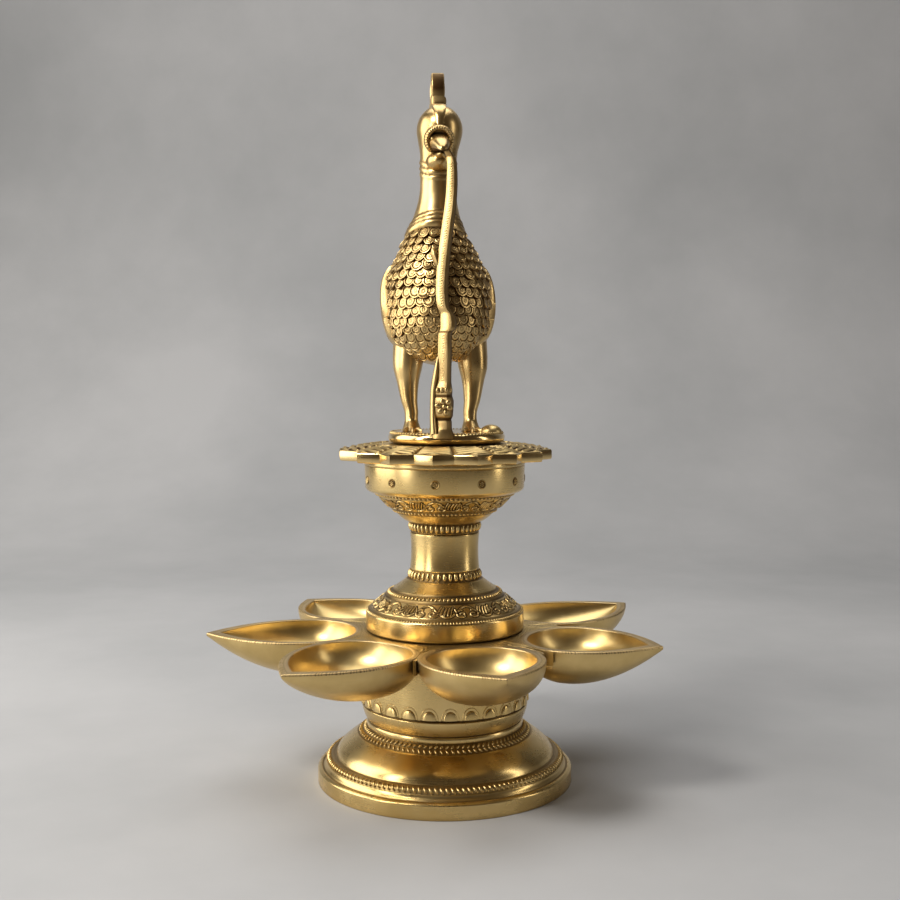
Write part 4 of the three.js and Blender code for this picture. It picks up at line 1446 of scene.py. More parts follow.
    def _hub(self) -> Sheet:
        """The hub's plate, its edge under the rims and out to the webs between the cups.

        Returns:
            The plate as a sheet.
        """
        sides, bore, core = 720, 4.6, 30.0
        reach = np.array([self._web(2 * math.pi * k / sides) for k in range(sides)])
        for index, turn in enumerate(self.turns):
            shell, hollow = self._leaves(index)
            middle = (shell.rim(400) + hollow.rim(400)) / 2
            angles = np.degrees(np.arctan2(middle[:, 1], middle[:, 0]))
            radii = np.linalg.norm(middle, axis=1)
            near = radii < 62
            for k in range(sides):
                off = (360 * k / sides - turn + 180) % 360 - 180
                hit = radii[near & (np.abs(angles - off) < 0.7)]
                if len(hit):
                    reach[k] = min(reach[k], hit.min())
        angles = round_angles(sides)
        ring = unit_ring(angles)
        top, low = self.top - 0.06, self.top - 6.0
        points, dark = [], []
        rows = [(bore / core, low), (bore / core, top), (1.0, top)]
        rows += [(1 + share, top) for share in np.linspace(0.05, 1, 30)] + [(2.0, low)]
        for share, z in rows:
            size = np.full(sides, core * share) if share <= 1 else core + (reach - core) * (share - 1)
            mark = ((size + np.abs(((np.arange(sides) / 5) % 2) - 1) * 0.8) / 1.25) % 1.0 < 0.4
            mark = mark * (1.05 < share < 1.98)
            points.append(np.column_stack([ring * size[:, None], z - 0.18 * mark]))
            dark.append(0.40 * mark)
        return net(np.array(points), around=True, along=True, patina=np.array(dark))


@dataclass
class Lotus(Piece):
    """The lotus plate: pointed petals with a thick rim."""

    base: float = 140.4
    petals: int = 16
    turn: float = -95.75

    def build(self) -> None:
        """Makes the plate with its petals' borders and chased lines."""
        per = 32
        sides = self.petals * per
        angles = np.radians(self.turn) + round_angles(sides)
        share = np.abs(((np.arange(sides) / per + 0.5) % 1.0) - 0.5) * 2
        tip, notch = 46.4, 41.6
        flank = 1 / ((1 - share) / tip + share / notch)
        ring = unit_ring(angles)
        low, high = self.base, self.base + 4.3
        rows, dark = [], []

        def row(radius: Union[float, np.ndarray], z: Union[float, np.ndarray],
                shade: Union[float, np.ndarray] = 0.0) -> None:
            """Adds a ring of points, each value one number or one for each point.

            Args:
                radius: distance from the axis.
                z: height.
                shade: patina.
            """
            radii, heights, shades = (np.broadcast_to(value, sides) for value in (radius, z, shade))
            rows.append(np.column_stack([ring * radii[:, None], heights]))
            dark.append(shades)

        for radius, z in ((4.6, low), (27.3, low), (27.3, low - 1.8), (31.3, low - 1.8), (31.3, low)):
            row(radius, z)
        row(flank - 1.6, low, 0.3)
        row(flank - 0.7, low, 0.2)
        under = len(rows) - 1
        bevel = ((0.2, 0.3, 0.0), (0.0, 0.9, 0.0), (0.0, 3.5, 0.0), (0.12, 3.95, 0.0), (0.45, 4.25, 0.0))
        for inset, rise, shade in bevel:
            row(flank - inset, low + rise, shade)
        for t in np.linspace(0.0, 1.0, 90)[1:]:
            radius = flank - 0.45 + (27.5 - flank + 0.45) * t
            rise = high + 2.2 * (1 - (1 - t) ** 1.6)
            border = np.clip((share - 0.90) / 0.10, 0, 1) * (1 - t) ** 0.25
            phase = (t * 5.0 + share * 1.3) % 1.0
            chevron = np.abs(phase - 0.5) * 2
            inside = smooth(np.full(sides, t), 0.03, 0.08) * (1 - smooth(share, 0.84, 0.9)) * (t < 0.9)
            lifted = 1.15 * (0.5 - chevron) * inside
            groove = ((phase < 0.24) | (phase > 0.85)) * inside
            row(radius, rise - 0.9 * border + lifted, np.maximum(0.05 + 0.9 * border, groove))
        row(4.6, high + 2.2)
        parts = (("lotus_under", 0, under, CAST), ("lotus_edge", under, under + 5, POLISHED),
                 ("lotus_petals", under + 5, len(rows) - 1, CAST))
        for name, start, end, finish in parts:
            sheet = net(np.array(rows[start : end + 1]), around=True, patina=np.array(dark[start : end + 1]))
            self.put(name, sheet, finish, crease=32)


# Height, middle across and along, half-width and half-length of the bird's trunk, neck and head.
STATIONS = np.array([
    (180.6, 0, 6, 1.5, 2), (182.2, 0, 6, 7.5, 10.5), (184, 0, 6, 11.5, 16), (190.5, 0.3, 6.5, 19, 25.5),
    (198, 0.4, 6.5, 22.5, 31.5), (208, 0.2, 5.5, 23.5, 33), (217.5, -0.3, 2, 22, 29.5),
    (226, -0.5, -4.5, 17.3, 22.5), (234.6, -1.5, -9.5, 13.2, 15.5), (243, -1.2, -12, 9.7, 11.2),
    (252, -0.8, -12.8, 7.7, 8.5), (262, -0.6, -12.4, 7.5, 8.3), (269.5, -0.35, -11.9, 7.9, 9.2),
    (274, -0.1, -12.0, 8.9, 10.9), (278.4, 0, -12.0, 9.6, 11.9), (282.5, 0, -12.0, 8.8, 10.9),
    (285.5, 0, -12.0, 6.9, 8.5), (287.6, 0, -12.0, 4.2, 5.2), (288.4, 0, -12.0, 1.6, 2.0),
])


class BirdShape:
    """The bird's trunk, neck and head as upright ellipses."""

    def __init__(self, stations: np.ndarray) -> None:
        """Keeps the stations: height, middle across and along, half-width and half-length."""
        self.stations = stations

    def at(self, z: float) -> np.ndarray:
        """The ellipse at a height.

        Args:
            z: the height.

        Returns:
            Middle across and along, half-width and half-length.
        """
        s = self.stations
        i = int(np.clip(np.searchsorted(s[:, 0], z) - 1, 0, len(s) - 2))
        t = float(np.clip((z - s[i, 0]) / (s[i + 1, 0] - s[i, 0]), 0, 1))
        rows = [s[max(i - 1, 0)], s[i], s[i + 1], s[min(i + 2, len(s) - 1)]]
        span = rows[2][0] - rows[1][0]
        slopes = []
        for k in (1, 2):
            wide = rows[k + 1][0] - rows[k - 1][0]
            slopes.append((rows[k + 1][1:] - rows[k - 1][1:]) / max(wide, 1e-6) * span)
        h = (2 * t**3 - 3 * t**2 + 1, t**3 - 2 * t**2 + t, -2 * t**3 + 3 * t**2, t**3 - t**2)
        return h[0] * rows[1][1:] + h[1] * slopes[0] + h[2] * rows[2][1:] + h[3] * slopes[1]

    def point(self, z: float, angle: float, out: float = 0.0) -> np.ndarray:
        """A point on the skin, moved outwards."""
        x, y, a, b = self.at(z)
        return np.array([x + (a + out) * math.cos(angle), y + (b + out) * math.sin(angle), z])

    def basis(self, z: float, angle: float) -> tuple[np.ndarray, np.ndarray, np.ndarray]:
        """The directions of the skin at a place.

        Args:
            z: the height.
            angle: the direction in radians.

        Returns:
            Outward, sideways and upward.
        """
        up = self.point(z + 0.5, angle) - self.point(z - 0.5, angle)
        side = self.point(z, angle + 0.01) - self.point(z, angle - 0.01)
        up, side = up / np.linalg.norm(up), side / np.linalg.norm(side)
        out = np.cross(side, up)
        out /= np.linalg.norm(out)
        return out, np.cross(up, out), up

    def side(self, y: float, z: float, out: float) -> tuple[float, float]:
        """Middle of the skin across X and its distance from there, at a place seen from the side."""
        x, middle, a, b = self.at(z)
        return x, (a + out) * math.sqrt(max(0.02, 1 - ((y - middle) / (b + out)) ** 2))


def wing_edges(steps: int) -> tuple[np.ndarray, np.ndarray]:
    """Outline of a wing, seen from the side.

    Args:
        steps: how finely its curves are drawn.

    Returns:
        Its upper and its lower edge, with the same number of points.
    """
    top = bezier([(-17, 212), (-18, 224, -6, 229, 4, 225), (18, 220, 28, 210, 36, 201)], steps)
    low = bezier([(-17, 212), (-14, 183, 12, 178, 36, 196.5)], 2 * steps)
    return top, low


COLLAR = 234.8  # height that the scales end at, beside the neck
COLLAR_SLOPE = 3.6  # how much higher they end in front, and lower behind
WING_FRONT = -4.8  # where along the bird the wing starts
WING_BAND = 6.0  # where its smooth band ends
WING_BORDER = 0.11  # its plain border, as a share of the wing
WING_COVERTS = 0.56  # how far along it the small feathers reach, as a share


def scale_motif() -> Sheet:
    """A feather: a round scale with a proud lower lip and a punched crescent, its tip hanging down, its upper
    part painted darker as shade under the row above.

    Returns:
        The feather as a sheet.
    """
    sides, size = 20, 2.95
    steps = ((0.10, 0.50, 0.0), (0.18, 0.40, 0.7), (0.26, 0.46, 0.15), (0.42, 0.50, 0.0), (0.56, 0.44, 0.05),
             (0.63, 0.24, 0.85), (0.70, 0.24, 0.85), (0.78, 0.58, 0.0), (0.90, 0.54, 0.0), (0.95, 0.10, 1.0),
             (1.05, -0.8, 1.0))
    angles = round_angles(sides)
    rows, dark = [], []
    for share, out, shade in steps:
        y, z = size * share * np.cos(angles), 1.12 * size * share * np.sin(angles) - 0.5 * (1 - share)
        rows.append(np.stack([out - 0.33 * z, y, z], 1))
        # Painted shade: the upper part of each feather, under the lip of the row above, is darkened.
        dark.append(np.maximum(shade, 0.8 * smooth(z, 0.15 * size, 0.65 * size)))
    sheet = net(np.array(rows), around=True, patina=np.array(dark))
    sheet.add(rows[0], [tuple(range(sides))])
    return sheet


def plate(outline: np.ndarray, thickness: float, edge: float, shift: float = 0.0,
          rim: Callable[[float, float], float] = lambda y, z: 0.0) -> Sheet:
    """A flat outline in Y and Z with rounded edges, given a thickness across X.

    Args:
        outline: points of Y and Z.
        thickness: size across X.
        edge: radius of the rounded edges.
        shift: where its middle plane lies along X.
        rim: patina of the rim at a point of the outline.

    Returns:
        The plate as a sheet.
    """
    outline = np.asarray(outline)
    before, after = np.roll(outline, 1, 0), np.roll(outline, -1, 0)
    along = after - before
    normal = np.stack([along[:, 1], -along[:, 0]], 1)
    normal /= np.maximum(np.linalg.norm(normal, axis=1, keepdims=True), 1e-9)
    area = np.sum(outline[:, 0] * after[:, 1] - after[:, 0] * outline[:, 1])
    normal *= np.sign(area)
    half = thickness / 2
    shade = np.array([rim(y, z) for y, z in outline])
    rows, dark = [], []
    steps = ((-half, edge, 0.0), (-half + edge * 0.3, edge * 0.3, 0.0), (-half + edge, 0.0, 1.0),
             (half - edge, 0.0, 1.0), (half - edge * 0.3, edge * 0.3, 0.6), (half, edge, 0.0))
    for x, inset, share in steps:
        flat = outline - normal * inset
        rows.append(np.column_stack([np.full(len(flat), x + shift), flat]))
        dark.append(shade * share)
    return net(np.array(rows), around=True, caps=True, patina=np.array(dark))


def bezier(rows: Sequence[Sequence[float]], steps: int = 10) -> np.ndarray:
    """Points of an outline made of straight runs and curves.

    Args:
        rows: two numbers for a corner, six for a curve's two handles and its end.
        steps: runs in each curve.

    Returns:
        An array of points.
    """
    points = [np.array(rows[0], float)]
    for row in rows[1:]:
        row = np.array(row, float)
        start = points[-1]
        if len(row) == 2:
            points.append(row)
            continue
        a, b, c = row[0:2], row[2:4], row[4:6]
        for t in np.linspace(0, 1, steps + 1)[1:]:
            u = 1 - t
            points.append(u**3 * start + 3 * t * u**2 * a + 3 * t * t * u * b + t**3 * c)
    return np.array(points)


@dataclass
class Bird(Piece):
    """The standing bird, its crest, tail, creeper and plate."""

    yaw: float = 4.5
    shift: float = -3.0
    shape: BirdShape = field(default_factory=lambda: BirdShape(STATIONS))

    @property
    def place(self) -> Matrix:
        """From the bird's own axes to the lamp's, in millimetres."""
        return offset(self.shift, 0, 0) @ rotate(self.yaw, "Z")

    def add(self, name: str, sheet: Sheet, nodes: tuple[str, ...] = (), finish: Optional[Finish] = None,
            crease: float = 50.0) -> bpy.types.Object:
        """Adds a sheet that is drawn in the bird's own axes.

        Args:
            name: the piece's name.
            sheet: its faces.
            nodes: the nodes that it stands for, if not the bird's body.
            finish: its brass, if not the bird's.
            crease: edges sharper than this, in degrees, stay sharp.

        Returns:
            The new object.
        """
        mesh = sheet.moved(self.place).mesh(name)
        return finished(name, mesh, finish or self.finish, self.section, nodes or self.nodes, crease)

    def build(self) -> None:
        """Makes all of the bird's pieces."""
        self._trunk()
        self._scales()
        self._wings()
        self._legs()
        self._beak()
        self._crest()
        self._tail()
        self._creeper()
        self._plate()

    def _trunk(self) -> None:
        """The trunk, neck and head, with the neck's rings."""
        sides, rows, dark = 96, [], []
        angles = round_angles(sides)
        runs = ((180.6, 184, 6), (184.6, 284, 190), (284.4, 288.5, 16))
        heights = np.concatenate([np.linspace(*run) for run in runs])
        rings = [(235.9, 0.45), (237.7, 0.5), (239.5, 0.45), (260.2, 0.4), (262.6, 0.5), (265.0, 0.5)]
        for z in heights:
            x, y, a, b = self.shape.at(z)
            slope = np.sin(angles) * (-2.6 if z > 250 else COLLAR_SLOPE)
            lift = sum(size * np.exp(-(((z + slope - at) / 0.75) ** 2)) for at, size in rings)
            near = np.min([np.abs(z + slope - at - 1.1) for at, _ in rings], axis=0)
            shade = 0.8 * (near < 0.4)
            under = smooth(z + slope, COLLAR - 1.6, COLLAR) - 1.0
            # Painted shade: below the collar the trunk under the feathers is fully dark, as the shaded gaps
            # between them.
            if z > 184:
                shade = np.where(z + slope < COLLAR - 0.8, 1.0, shade)
            rows.append(oval(x, y, a + lift + under, b + lift + under, z, angles))
            dark.append(np.broadcast_to(shade, sides))
        self.add("bird_trunk", net(np.array(rows), around=True, caps=True, patina=np.array(dark)))

    def _scales(self) -> None:
        """The feathers in rows round the trunk, left out under the wings and above the collar."""
        spots, turns, sizes = [], [], []
        by_hand = np.random.default_rng(7)
        top, low = wing_edges(30)
        z, row = 185.0, 0
        while z < COLLAR + COLLAR_SLOPE:
            x, y, a, b = self.shape.at(z)
            fine = np.linspace(0, 2 * math.pi, 721)
            steps = np.hypot(np.diff(a * np.cos(fine)), np.diff(b * np.sin(fine)))
            arc = np.concatenate([[0], np.cumsum(steps)])
            size = 1.0 if z < 224 else 1.0 - 0.012 * (z - 224)
            count = max(8, round(arc[-1] / (5.3 * size)))
            for k in range(count):
                slip, lift, tilt, grow = by_hand.uniform(-1, 1, 4)
                along = (k + 0.5 * (row % 2) + 0.13 * slip) / count * arc[-1]
                angle = float(np.interp(along, arc, fine)) - math.pi / 2
                if z + COLLAR_SLOPE * math.sin(angle) > COLLAR - 0.6:
                    continue
                out, side, up = self.shape.basis(z, angle)
                here = Matrix((out, side, up)).transposed().to_4x4() @ rotate(14 * tilt, "X")
                here = here @ rotate(6 * slip, "Z")
                skin = self.shape.point(z + 0.55 * lift, angle)
                covered = np.interp(skin[1], low[:, 0], low[:, 1]) < skin[2] + 1
                covered = covered and skin[2] - 1 < np.interp(skin[1], top[:, 0], top[:, 1]) and skin[1] > -16
                if covered and WING_FRONT < skin[1] < 34:
                    continue
                skin -= out * 0.5
                spots.append(np.array(self.place @ Vector(skin)))
                turns.append((self.place @ here).to_euler("XYZ"))
                sizes.append(size * (1 + 0.10 * grow))
            _, _, a2, b2 = self.shape.at(z + 1)
            slope = abs((a2 + b2) - (a + b)) / 2
            z += 4.05 * size / math.hypot(1, slope)
            row += 1
        mesh = REPEATS.scatter(scale_motif(), self.finish, np.array(spots), turns, sizes)
        self.put("bird_scales", mesh)

    @staticmethod
    def _wing_surface(u: float, v: float, y: float) -> tuple[float, float]:
        """The carved surface of a wing.

        Args:
            u: share along the wing.
            v: share up it.
            y: place along the bird.

        Returns:
            How far it stands out from the skin, and its patina.
        """
        edge = min(v, 1 - v, u * 1.6, (1 - u) * 1.2)
        lift = -0.9 if edge <= 0 else 0.55 + 0.75 * min(1.0, edge / 0.05)
        if edge > WING_BORDER:
            lift -= 0.55
        shade = 0.9 if 0.085 < edge < 0.12 else 0.0
        if edge >= WING_BORDER and u > WING_COVERTS:
            vane = (v * 5.5 + 0.4 * math.sin(2.2 * u)) % 1.0
            lift += 0.45 * math.sin(math.pi * vane) ** 0.6
            shade = max(shade, 0.85 if vane < 0.09 or vane > 0.93 else 0.0)
            barb = (u * 46 + 2.4 * abs(vane - 0.5)) % 1.0
            shade = max(shade, 0.35 if barb < 0.3 else 0.0)
        elif edge >= WING_BORDER:
            row = math.floor(u / WING_COVERTS * 8)
            cell = (v * 7 + 0.5 * (row % 2)) % 1.0 - 0.5
            here = u / WING_COVERTS * 8 - row
            arc = here - 0.75 * math.sqrt(max(0.0, 1 - (2 * cell) ** 2))
            lift += 0.40 * (1 - here)
            shade = max(shade, 0.9 if abs(arc) < 0.15 else 0.0)
        if y < WING_BAND:
            if edge > 0:
                crown = 1.5 - 0.8 * float(smooth(y, 0.0, WING_BAND))
                lift = 0.3 + crown * float(smooth(edge, 0.0, 0.16))
            lift = -1.2 + (lift + 1.2) * float(smooth(y, WING_FRONT, WING_FRONT + 1.6))
            shade = 0.9 * float(1 - smooth(y, WING_FRONT, WING_FRONT + 0.9))
        elif y < WING_BAND + 0.8:
            lift, shade = min(lift, 0.3), 0.9
        return lift, shade

    def _wings(self) -> None:
        """Both wings: a smooth front band, small coverts and long vanes."""
        top, low = wing_edges(30)
        across, up = 100, 44
        for name, side in (("right", -1), ("left", 1)):
            points, dark = np.empty((across, up, 3)), np.zeros((across, up))
            for i, u in enumerate(np.linspace(0, 1, across)):
                a = top[int(round(u * (len(top) - 1)))]
                b = low[int(round(u * (len(low) - 1)))]
                for j, v in enumerate(np.linspace(0, 1, up)):
                    y, z = b + (a - b) * v
                    lift, dark[i, j] = self._wing_surface(u, v, y)
                    middle, wide = self.shape.side(y, z, lift)
                    points[i, j] = (middle + side * wide, y, z)
            self.add(f"bird_wing_{name}", net(points, patina=dark))

    @staticmethod
    def _stack(stations: Sequence[tuple], steps: int, sides: int) -> np.ndarray:
        """Smooth rings through stations.

        Args:
            stations: height, middle across and along, half-width and half-length.
            steps: how many rings.
            sides: points in a ring.

        Returns:
            Points in rings.
        """
        body = BirdShape(np.array(stations, float))
        angles = round_angles(sides)
        rows = []
        for z in np.linspace(stations[0][0], stations[-1][0], steps):
            x, y, a, b = body.at(z)
            rows.append(oval(x, y, a, b, z, angles))
        return np.array(rows)

    def _legs(self) -> None:
        """Both legs with their toes."""
        foot = 152.6
        for name, side in (("right", -1), ("left", 1)):
            ankle, shin, thigh = (1.4 + side * spread for spread in (12.8, 13.7, 14.2))
            stations = [
                (foot, ankle, -1.5, 4.2, 6.2), (foot + 1.6, ankle, -1, 3.7, 4.8),
                (foot + 4.6, ankle, 0.7, 2.9, 3.3), (foot + 8, ankle, 1.3, 3.0, 3.4),
                (foot + 13, shin, 2, 3.6, 3.8), (foot + 21, thigh, 3, 4.8, 5),
                (foot + 28, thigh, 4, 6.4, 7), (foot + 41, 1.4 + side * 13.2, 5.5, 7.2, 9),
            ]
            sheet = net(self._stack(stations, 60, 40), around=True, caps=True)
            toe = dome(1.0, 4.2, 1.7, rings=4, sides=12, rim=0.6)
            for turn, reach in ((-28, 4.4), (0, 5.2), (28, 4.4), (180, 2.6)):
                flat = offset(ankle, -1.5, foot) @ rotate(turn, "Z")
                lying = flat @ offset(0, -reach, 0.1) @ rotate(-90, "Y")
                sheet.merge(toe, lying @ rotate(90, "X"))
            self.add(f"bird_leg_{name}", sheet)

    def _beak(self) -> None:
        """The beak with its nostrils, the chin, the eyes and the notched ring."""
        sheet = Sheet()
        angles = round_angles(32)
        root, tip = np.array((-0.9, -23, 271.8)), np.array((0, -33.4, 267.1))
        rows, dark = [], []
        for t in np.linspace(-0.25, 1, 30):
            blunt = math.sqrt(1 - max(0.0, t - 0.8) ** 2 * 18)
            radius = 5.1 * (1 - 0.68 * max(t, 0.0)) * blunt
            x, y, z = root + (tip - root) * t + np.array((0, 0, 2.4 * t * (1 - t)))
            across, up = x + radius * np.cos(angles), z + 0.8 * radius * np.sin(angles)
            rows.append(np.stack([across, np.full(32, y), up], 1))
            # Painted shade: the underside of the beak is dark.
            dark.append(1.0 * (np.sin(angles) < -0.6))
        sheet.grid(np.array(rows), around=True, caps=True, patina=np.array(dark))
        forward = rotate(-90, "Z")
        sheet.merge(dome(5.6, 4.3, 7.6, rings=8, sides=32, rim=0.3), offset(-0.7, -18.0, 264.5) @ forward)
        sheet.merge(dome(3.0, 1.6, 11.5, rings=6, sides=20, rim=0.8), offset(-0.6, -18.0, 266.0) @ forward)
        nostril = dome(0.6, 0.9, 0.15, rings=2, sides=9, rim=1.0)
        for side in (-1, 1):
            lean = rotate(-90 + side * 55, "Z")
            sheet.merge(nostril, offset(side * 3.7 - 0.6, -26.0, 272.3) @ lean)
        eye = dome(2.1, 2.1, 0.32, rings=3, sides=20, rim=1.0)
        eye.merge(dome(1.0, 1.0, 0.5, rings=3, sides=14, rim=1.0))
        for side in (-1, 1):
            turn = rotate(90 - side * 90 - side * 9, "Z")
            sheet.merge(eye, offset(side * 8.85, -14.4, 279.6) @ turn)
        self.add("bird_beak", sheet)
        collar = offset(-0.9, -23.9, 272.2) @ rotate(90 + 15, "X")
        turns = np.radians(np.linspace(-52, 232, 124))
        notch = (np.arange(124) % 5 == 0).astype(float)
        sink = 1.6 * (1 - smooth(np.minimum(turns - turns[0], turns[-1] - turns), 0.0, 0.35))
        rings, dark = [], []
        section = ((3.8, -2.0, 1.0, 0), (3.9, 0.7, 0.2, 0), (4.4, 1.35, 0.0, 1), (5.0, 1.6, 0.0, 1),
                   (5.6, 1.35, 0.0, 1), (6.1, 0.6, 0.0, 1), (6.25, -0.2, 0.6, 0), (6.3, -3.0, 1.0, 0))
        for radius, out, shade, cut in section:
            depth = out - sink - 0.25 * notch * cut
            rings.append(np.stack([radius * np.cos(turns), radius * np.sin(turns), depth], 1))
            dark.append(np.maximum(shade, 0.6 * notch * cut))
        self.add("bird_beak_ring", net(np.array(rings), patina=np.clip(dark, 0, 1)).moved(collar))

    def _crest(self) -> None:
        """The ridge on the head and the comb on it."""
        ridge_line = bezier([(-24.5, 277.8), (-24.2, 286, -18, 288.6, -15.5, 289), (-14.4, 292.4),
                             (-1.5, 292.4), (2, 290, 3, 287, 1, 283), (-10, 279)])
        comb = bezier([(-13.4, 286), (-12.8, 296), (-12.4, 299, -11, 302, -9, 303.0), (-5, 303.0),
                       (-5.5, 300.4, -2.5, 299.8, -1, 299.6), (-2, 296.8, 0.5, 295.2, 2, 294.4), (0, 284)], 6)
        sheet = plate(ridge_line, 6.4, 1.5, -0.5, lambda y, z: 0.95 if 288.6 < z < 291.9 and y < -13 else 0.0)
        across, y, z = sheet.points[0].T
        across[:] = np.where(y < -15, (across + 0.5) * np.clip(0.42 + (z - 278) / 17, 0.42, 1) - 0.5, across)
        sheet.merge(plate(comb, 5.4, 0.6, -0.6, lambda y, z: 0.92 if y < -9.5 and z > 287 else 0.1))
        for side in (-1, 1):
            for k in range(4):
                line = [(-11.4 + 2.3 * k, 293.4), (-10.8 + 2.2 * k, 296.2), (-9.6 + 1.7 * k, 299.0 - 0.3 * k)]
                place = lambda s, u, o, side=side: (-0.6 + side * (2.65 + o), s, u)
                sheet.merge(ridge(line, 0.6, 0.3, place))
        self.add("bird_crest_comb", sheet, ("bird_crest",), crease=38)

    def _tail(self) -> None:
        """The curled tail plume with its ribs."""
        rows = [(26, 190), (44, 190, 60, 204, 61, 224), (62, 240, 56, 250, 46, 251),
                (39, 251, 36, 245, 40, 241), (43, 243, 48, 240, 48, 233), (48, 224, 42, 220, 24, 216)]
        outline = bezier(rows, 18)
        sheet = plate(outline, 8.6, 1.6)
        outer = bezier([(28, 190), (44, 190, 60, 204, 61, 224), (62, 240, 56, 250, 46, 251)], 24)
        inner = bezier([(26, 216), (42, 220, 48, 224, 48, 233), (48, 240, 43, 243, 42, 242)], 24)
        for side in (-1, 1):
            for share in (0.10, 0.26, 0.42, 0.58, 0.74, 0.90):
                line = inner + (outer - inner) * share
                sheet.merge(ridge(line, 1.5, 0.55, lambda s, u, o, side=side: (side * (4.15 + o), s, u), 0.3))
        self.add("bird_tail_plume", sheet, ("bird_tail",), crease=40)

    def _creeper(self) -> None:
        """The creeper's stem, leaf, shoot, hatching and flower."""
        stations = [
            (150.5, 0.6, -26.4, 4.3, 2.75), (152.4, 0.6, -26.5, 4.1, 2.75),
            (154.4, 0.6, -26.6, 3.4, 2.6), (157.4, 0.6, -26.8, 3.3, 2.7), (158.4, 0.5, -27.0, 3.2, 2.5),
            (159.6, 0.45, -27.2, 3.8, 3.2), (161.5, 0.4, -27.5, 4.0, 3.5),
            (166.0, 0.4, -28.1, 4.15, 3.8), (168.0, 0.35, -28.5, 3.6, 3.3),
            (170.2, 0.3, -28.8, 3.7, 3.3), (172.2, 0.5, -29.2, 3.2, 2.8), (174.0, 0.7, -29.5, 2.8, 2.5),
            (186, 0.8, -31.2, 2.75, 2.4), (193.6, 0.9, -31.9, 2.7, 2.3), (194.6, 1.6, -32, 2.9, 2.4),
            (195.8, 2.2, -32, 3.2, 2.7), (199.5, 2.1, -32, 3.15, 2.6), (201.6, 1.6, -32, 2.6, 2.2),
            (203.5, 0.4, -32, 2.4, 2.0), (206.5, -0.2, -32, 2.5, 2.0), (213, -0.4, -32, 2.5, 2.0),
            (223, 0.3, -32, 2.5, 1.95), (235, 1.7, -31.7, 2.4, 1.95), (247, 3.3, -31.3, 2.3, 1.85),
            (257, 3.8, -30.9, 2.15, 1.65), (263.6, 3.5, -30.6, 1.85, 1.45),
            (265.4, 2.7, -30.5, 1.6, 1.4), (267.2, 1.7, -30.4, 1.4, 1.3),
        ]
        body = BirdShape(np.array(stations, float))
        rows, dark = [], []
        section = ((-1, 1), (-1, -0.15), (-0.80, -0.45), (0.30, -1.0), (0.72, -0.85), (1.0, -0.25), (1, 1))
        for z in np.linspace(150.5, 267.2, 268):
            x, y, a, b = body.at(z)
            rows.append([(x + a * u, y + b * v, z) for u, v in section])
            # Painted shadow: dark bands under the flower, between the flower and its lumps, under the leaf,
            # and at the top under the chin.
            painted_shadow = 0.9 if abs(z - 158.5) < 0.6 or abs(z - 194.0) < 0.5 or abs(z - 168.0) < 0.5 else 0.0
            painted_shadow = max(painted_shadow, 0.75 * float(z > 264.4))
            # Painted shade: the right side of the stem is darker than its left and front.
            dark.append([0.3, 0.2, 0.0, 0.0, 0.55, 0.9, 0.6] if painted_shadow == 0 else [painted_shadow] * len(section))
        sheet = net(np.array(rows), around=True, caps=True, patina=np.array(dark))
        share = np.linspace(0, 1, 10)
        line = [(-1.2 - 3.1 * t ** 0.8, 220 + 7.6 * t) for t in share]
        sheet.merge(ridge(line, 3.0, 1.3, lambda s, u, o: (s, -31.6 - o, u), 0.3))
        shoot = [(152.4, -3.4, -26.6, 1.6, 2.4), (160, -3.8, -27.0, 1.35, 2.2), (170, -3.7, -28.2, 1.25, 2.0),
                 (178, -2.7, -29.9, 1.1, 1.7), (184, -2.0, -30.8, 0.4, 0.6)]
        sheet.grid(self._stack(shoot, 30, 14), around=True, caps=True)
        self.add("creeper_stem", sheet, ("creeper",), crease=35)
        spots, turns = [], []
        lying = rotate(-108, "Z") @ rotate(18, "X")
        for z in np.concatenate([np.arange(174.5, 193.5, 1.0), np.arange(204.5, 262.5, 1.0)]):
            x, y, a, b = body.at(z)
            spots.append(np.array(self.place @ Vector((x - 0.22 * a, y - 0.67 * b, z))))
            turns.append((self.place @ lying).to_euler("XYZ"))
        hatch = dome(1.15, 0.30, 0.24, rings=2, sides=8, rim=0.7)
        mesh = REPEATS.scatter(hatch, self.finish, np.array(spots), turns, [1.0] * len(spots))
        finished("creeper_hatching", mesh, self.finish, self.section, ("creeper",))
        facing = rotate(-90, "Z")
        flower = offset(0.4, -31.5, 163.6) @ facing
        ring = Sheet()
        for k in range(6):
            turn = Matrix.Rotation((k + 0.3) * math.pi / 3, 4, "X") @ offset(0, 0, 2.2 + 0.3 * (k % 2))
            ring.merge(dome(1.2, 1.45, 0.85, rings=3, sides=11, rim=0.9), turn)
        ring.merge(dome(1.1, 1.1, 1.0, rings=3, sides=12, rim=1.0))
        blossom = ring.moved(flower)
        for across in (-2.5, -0.85, 0.85, 2.5):
            lump = offset(0.35 + across, -31.9 + 0.14 * across**2, 170.4) @ facing
            blossom.merge(dome(0.85, 1.25, 0.75, rings=3, sides=10, rim=1.0), lump)
        self.add("creeper_rosette", blossom, ("creeper",))

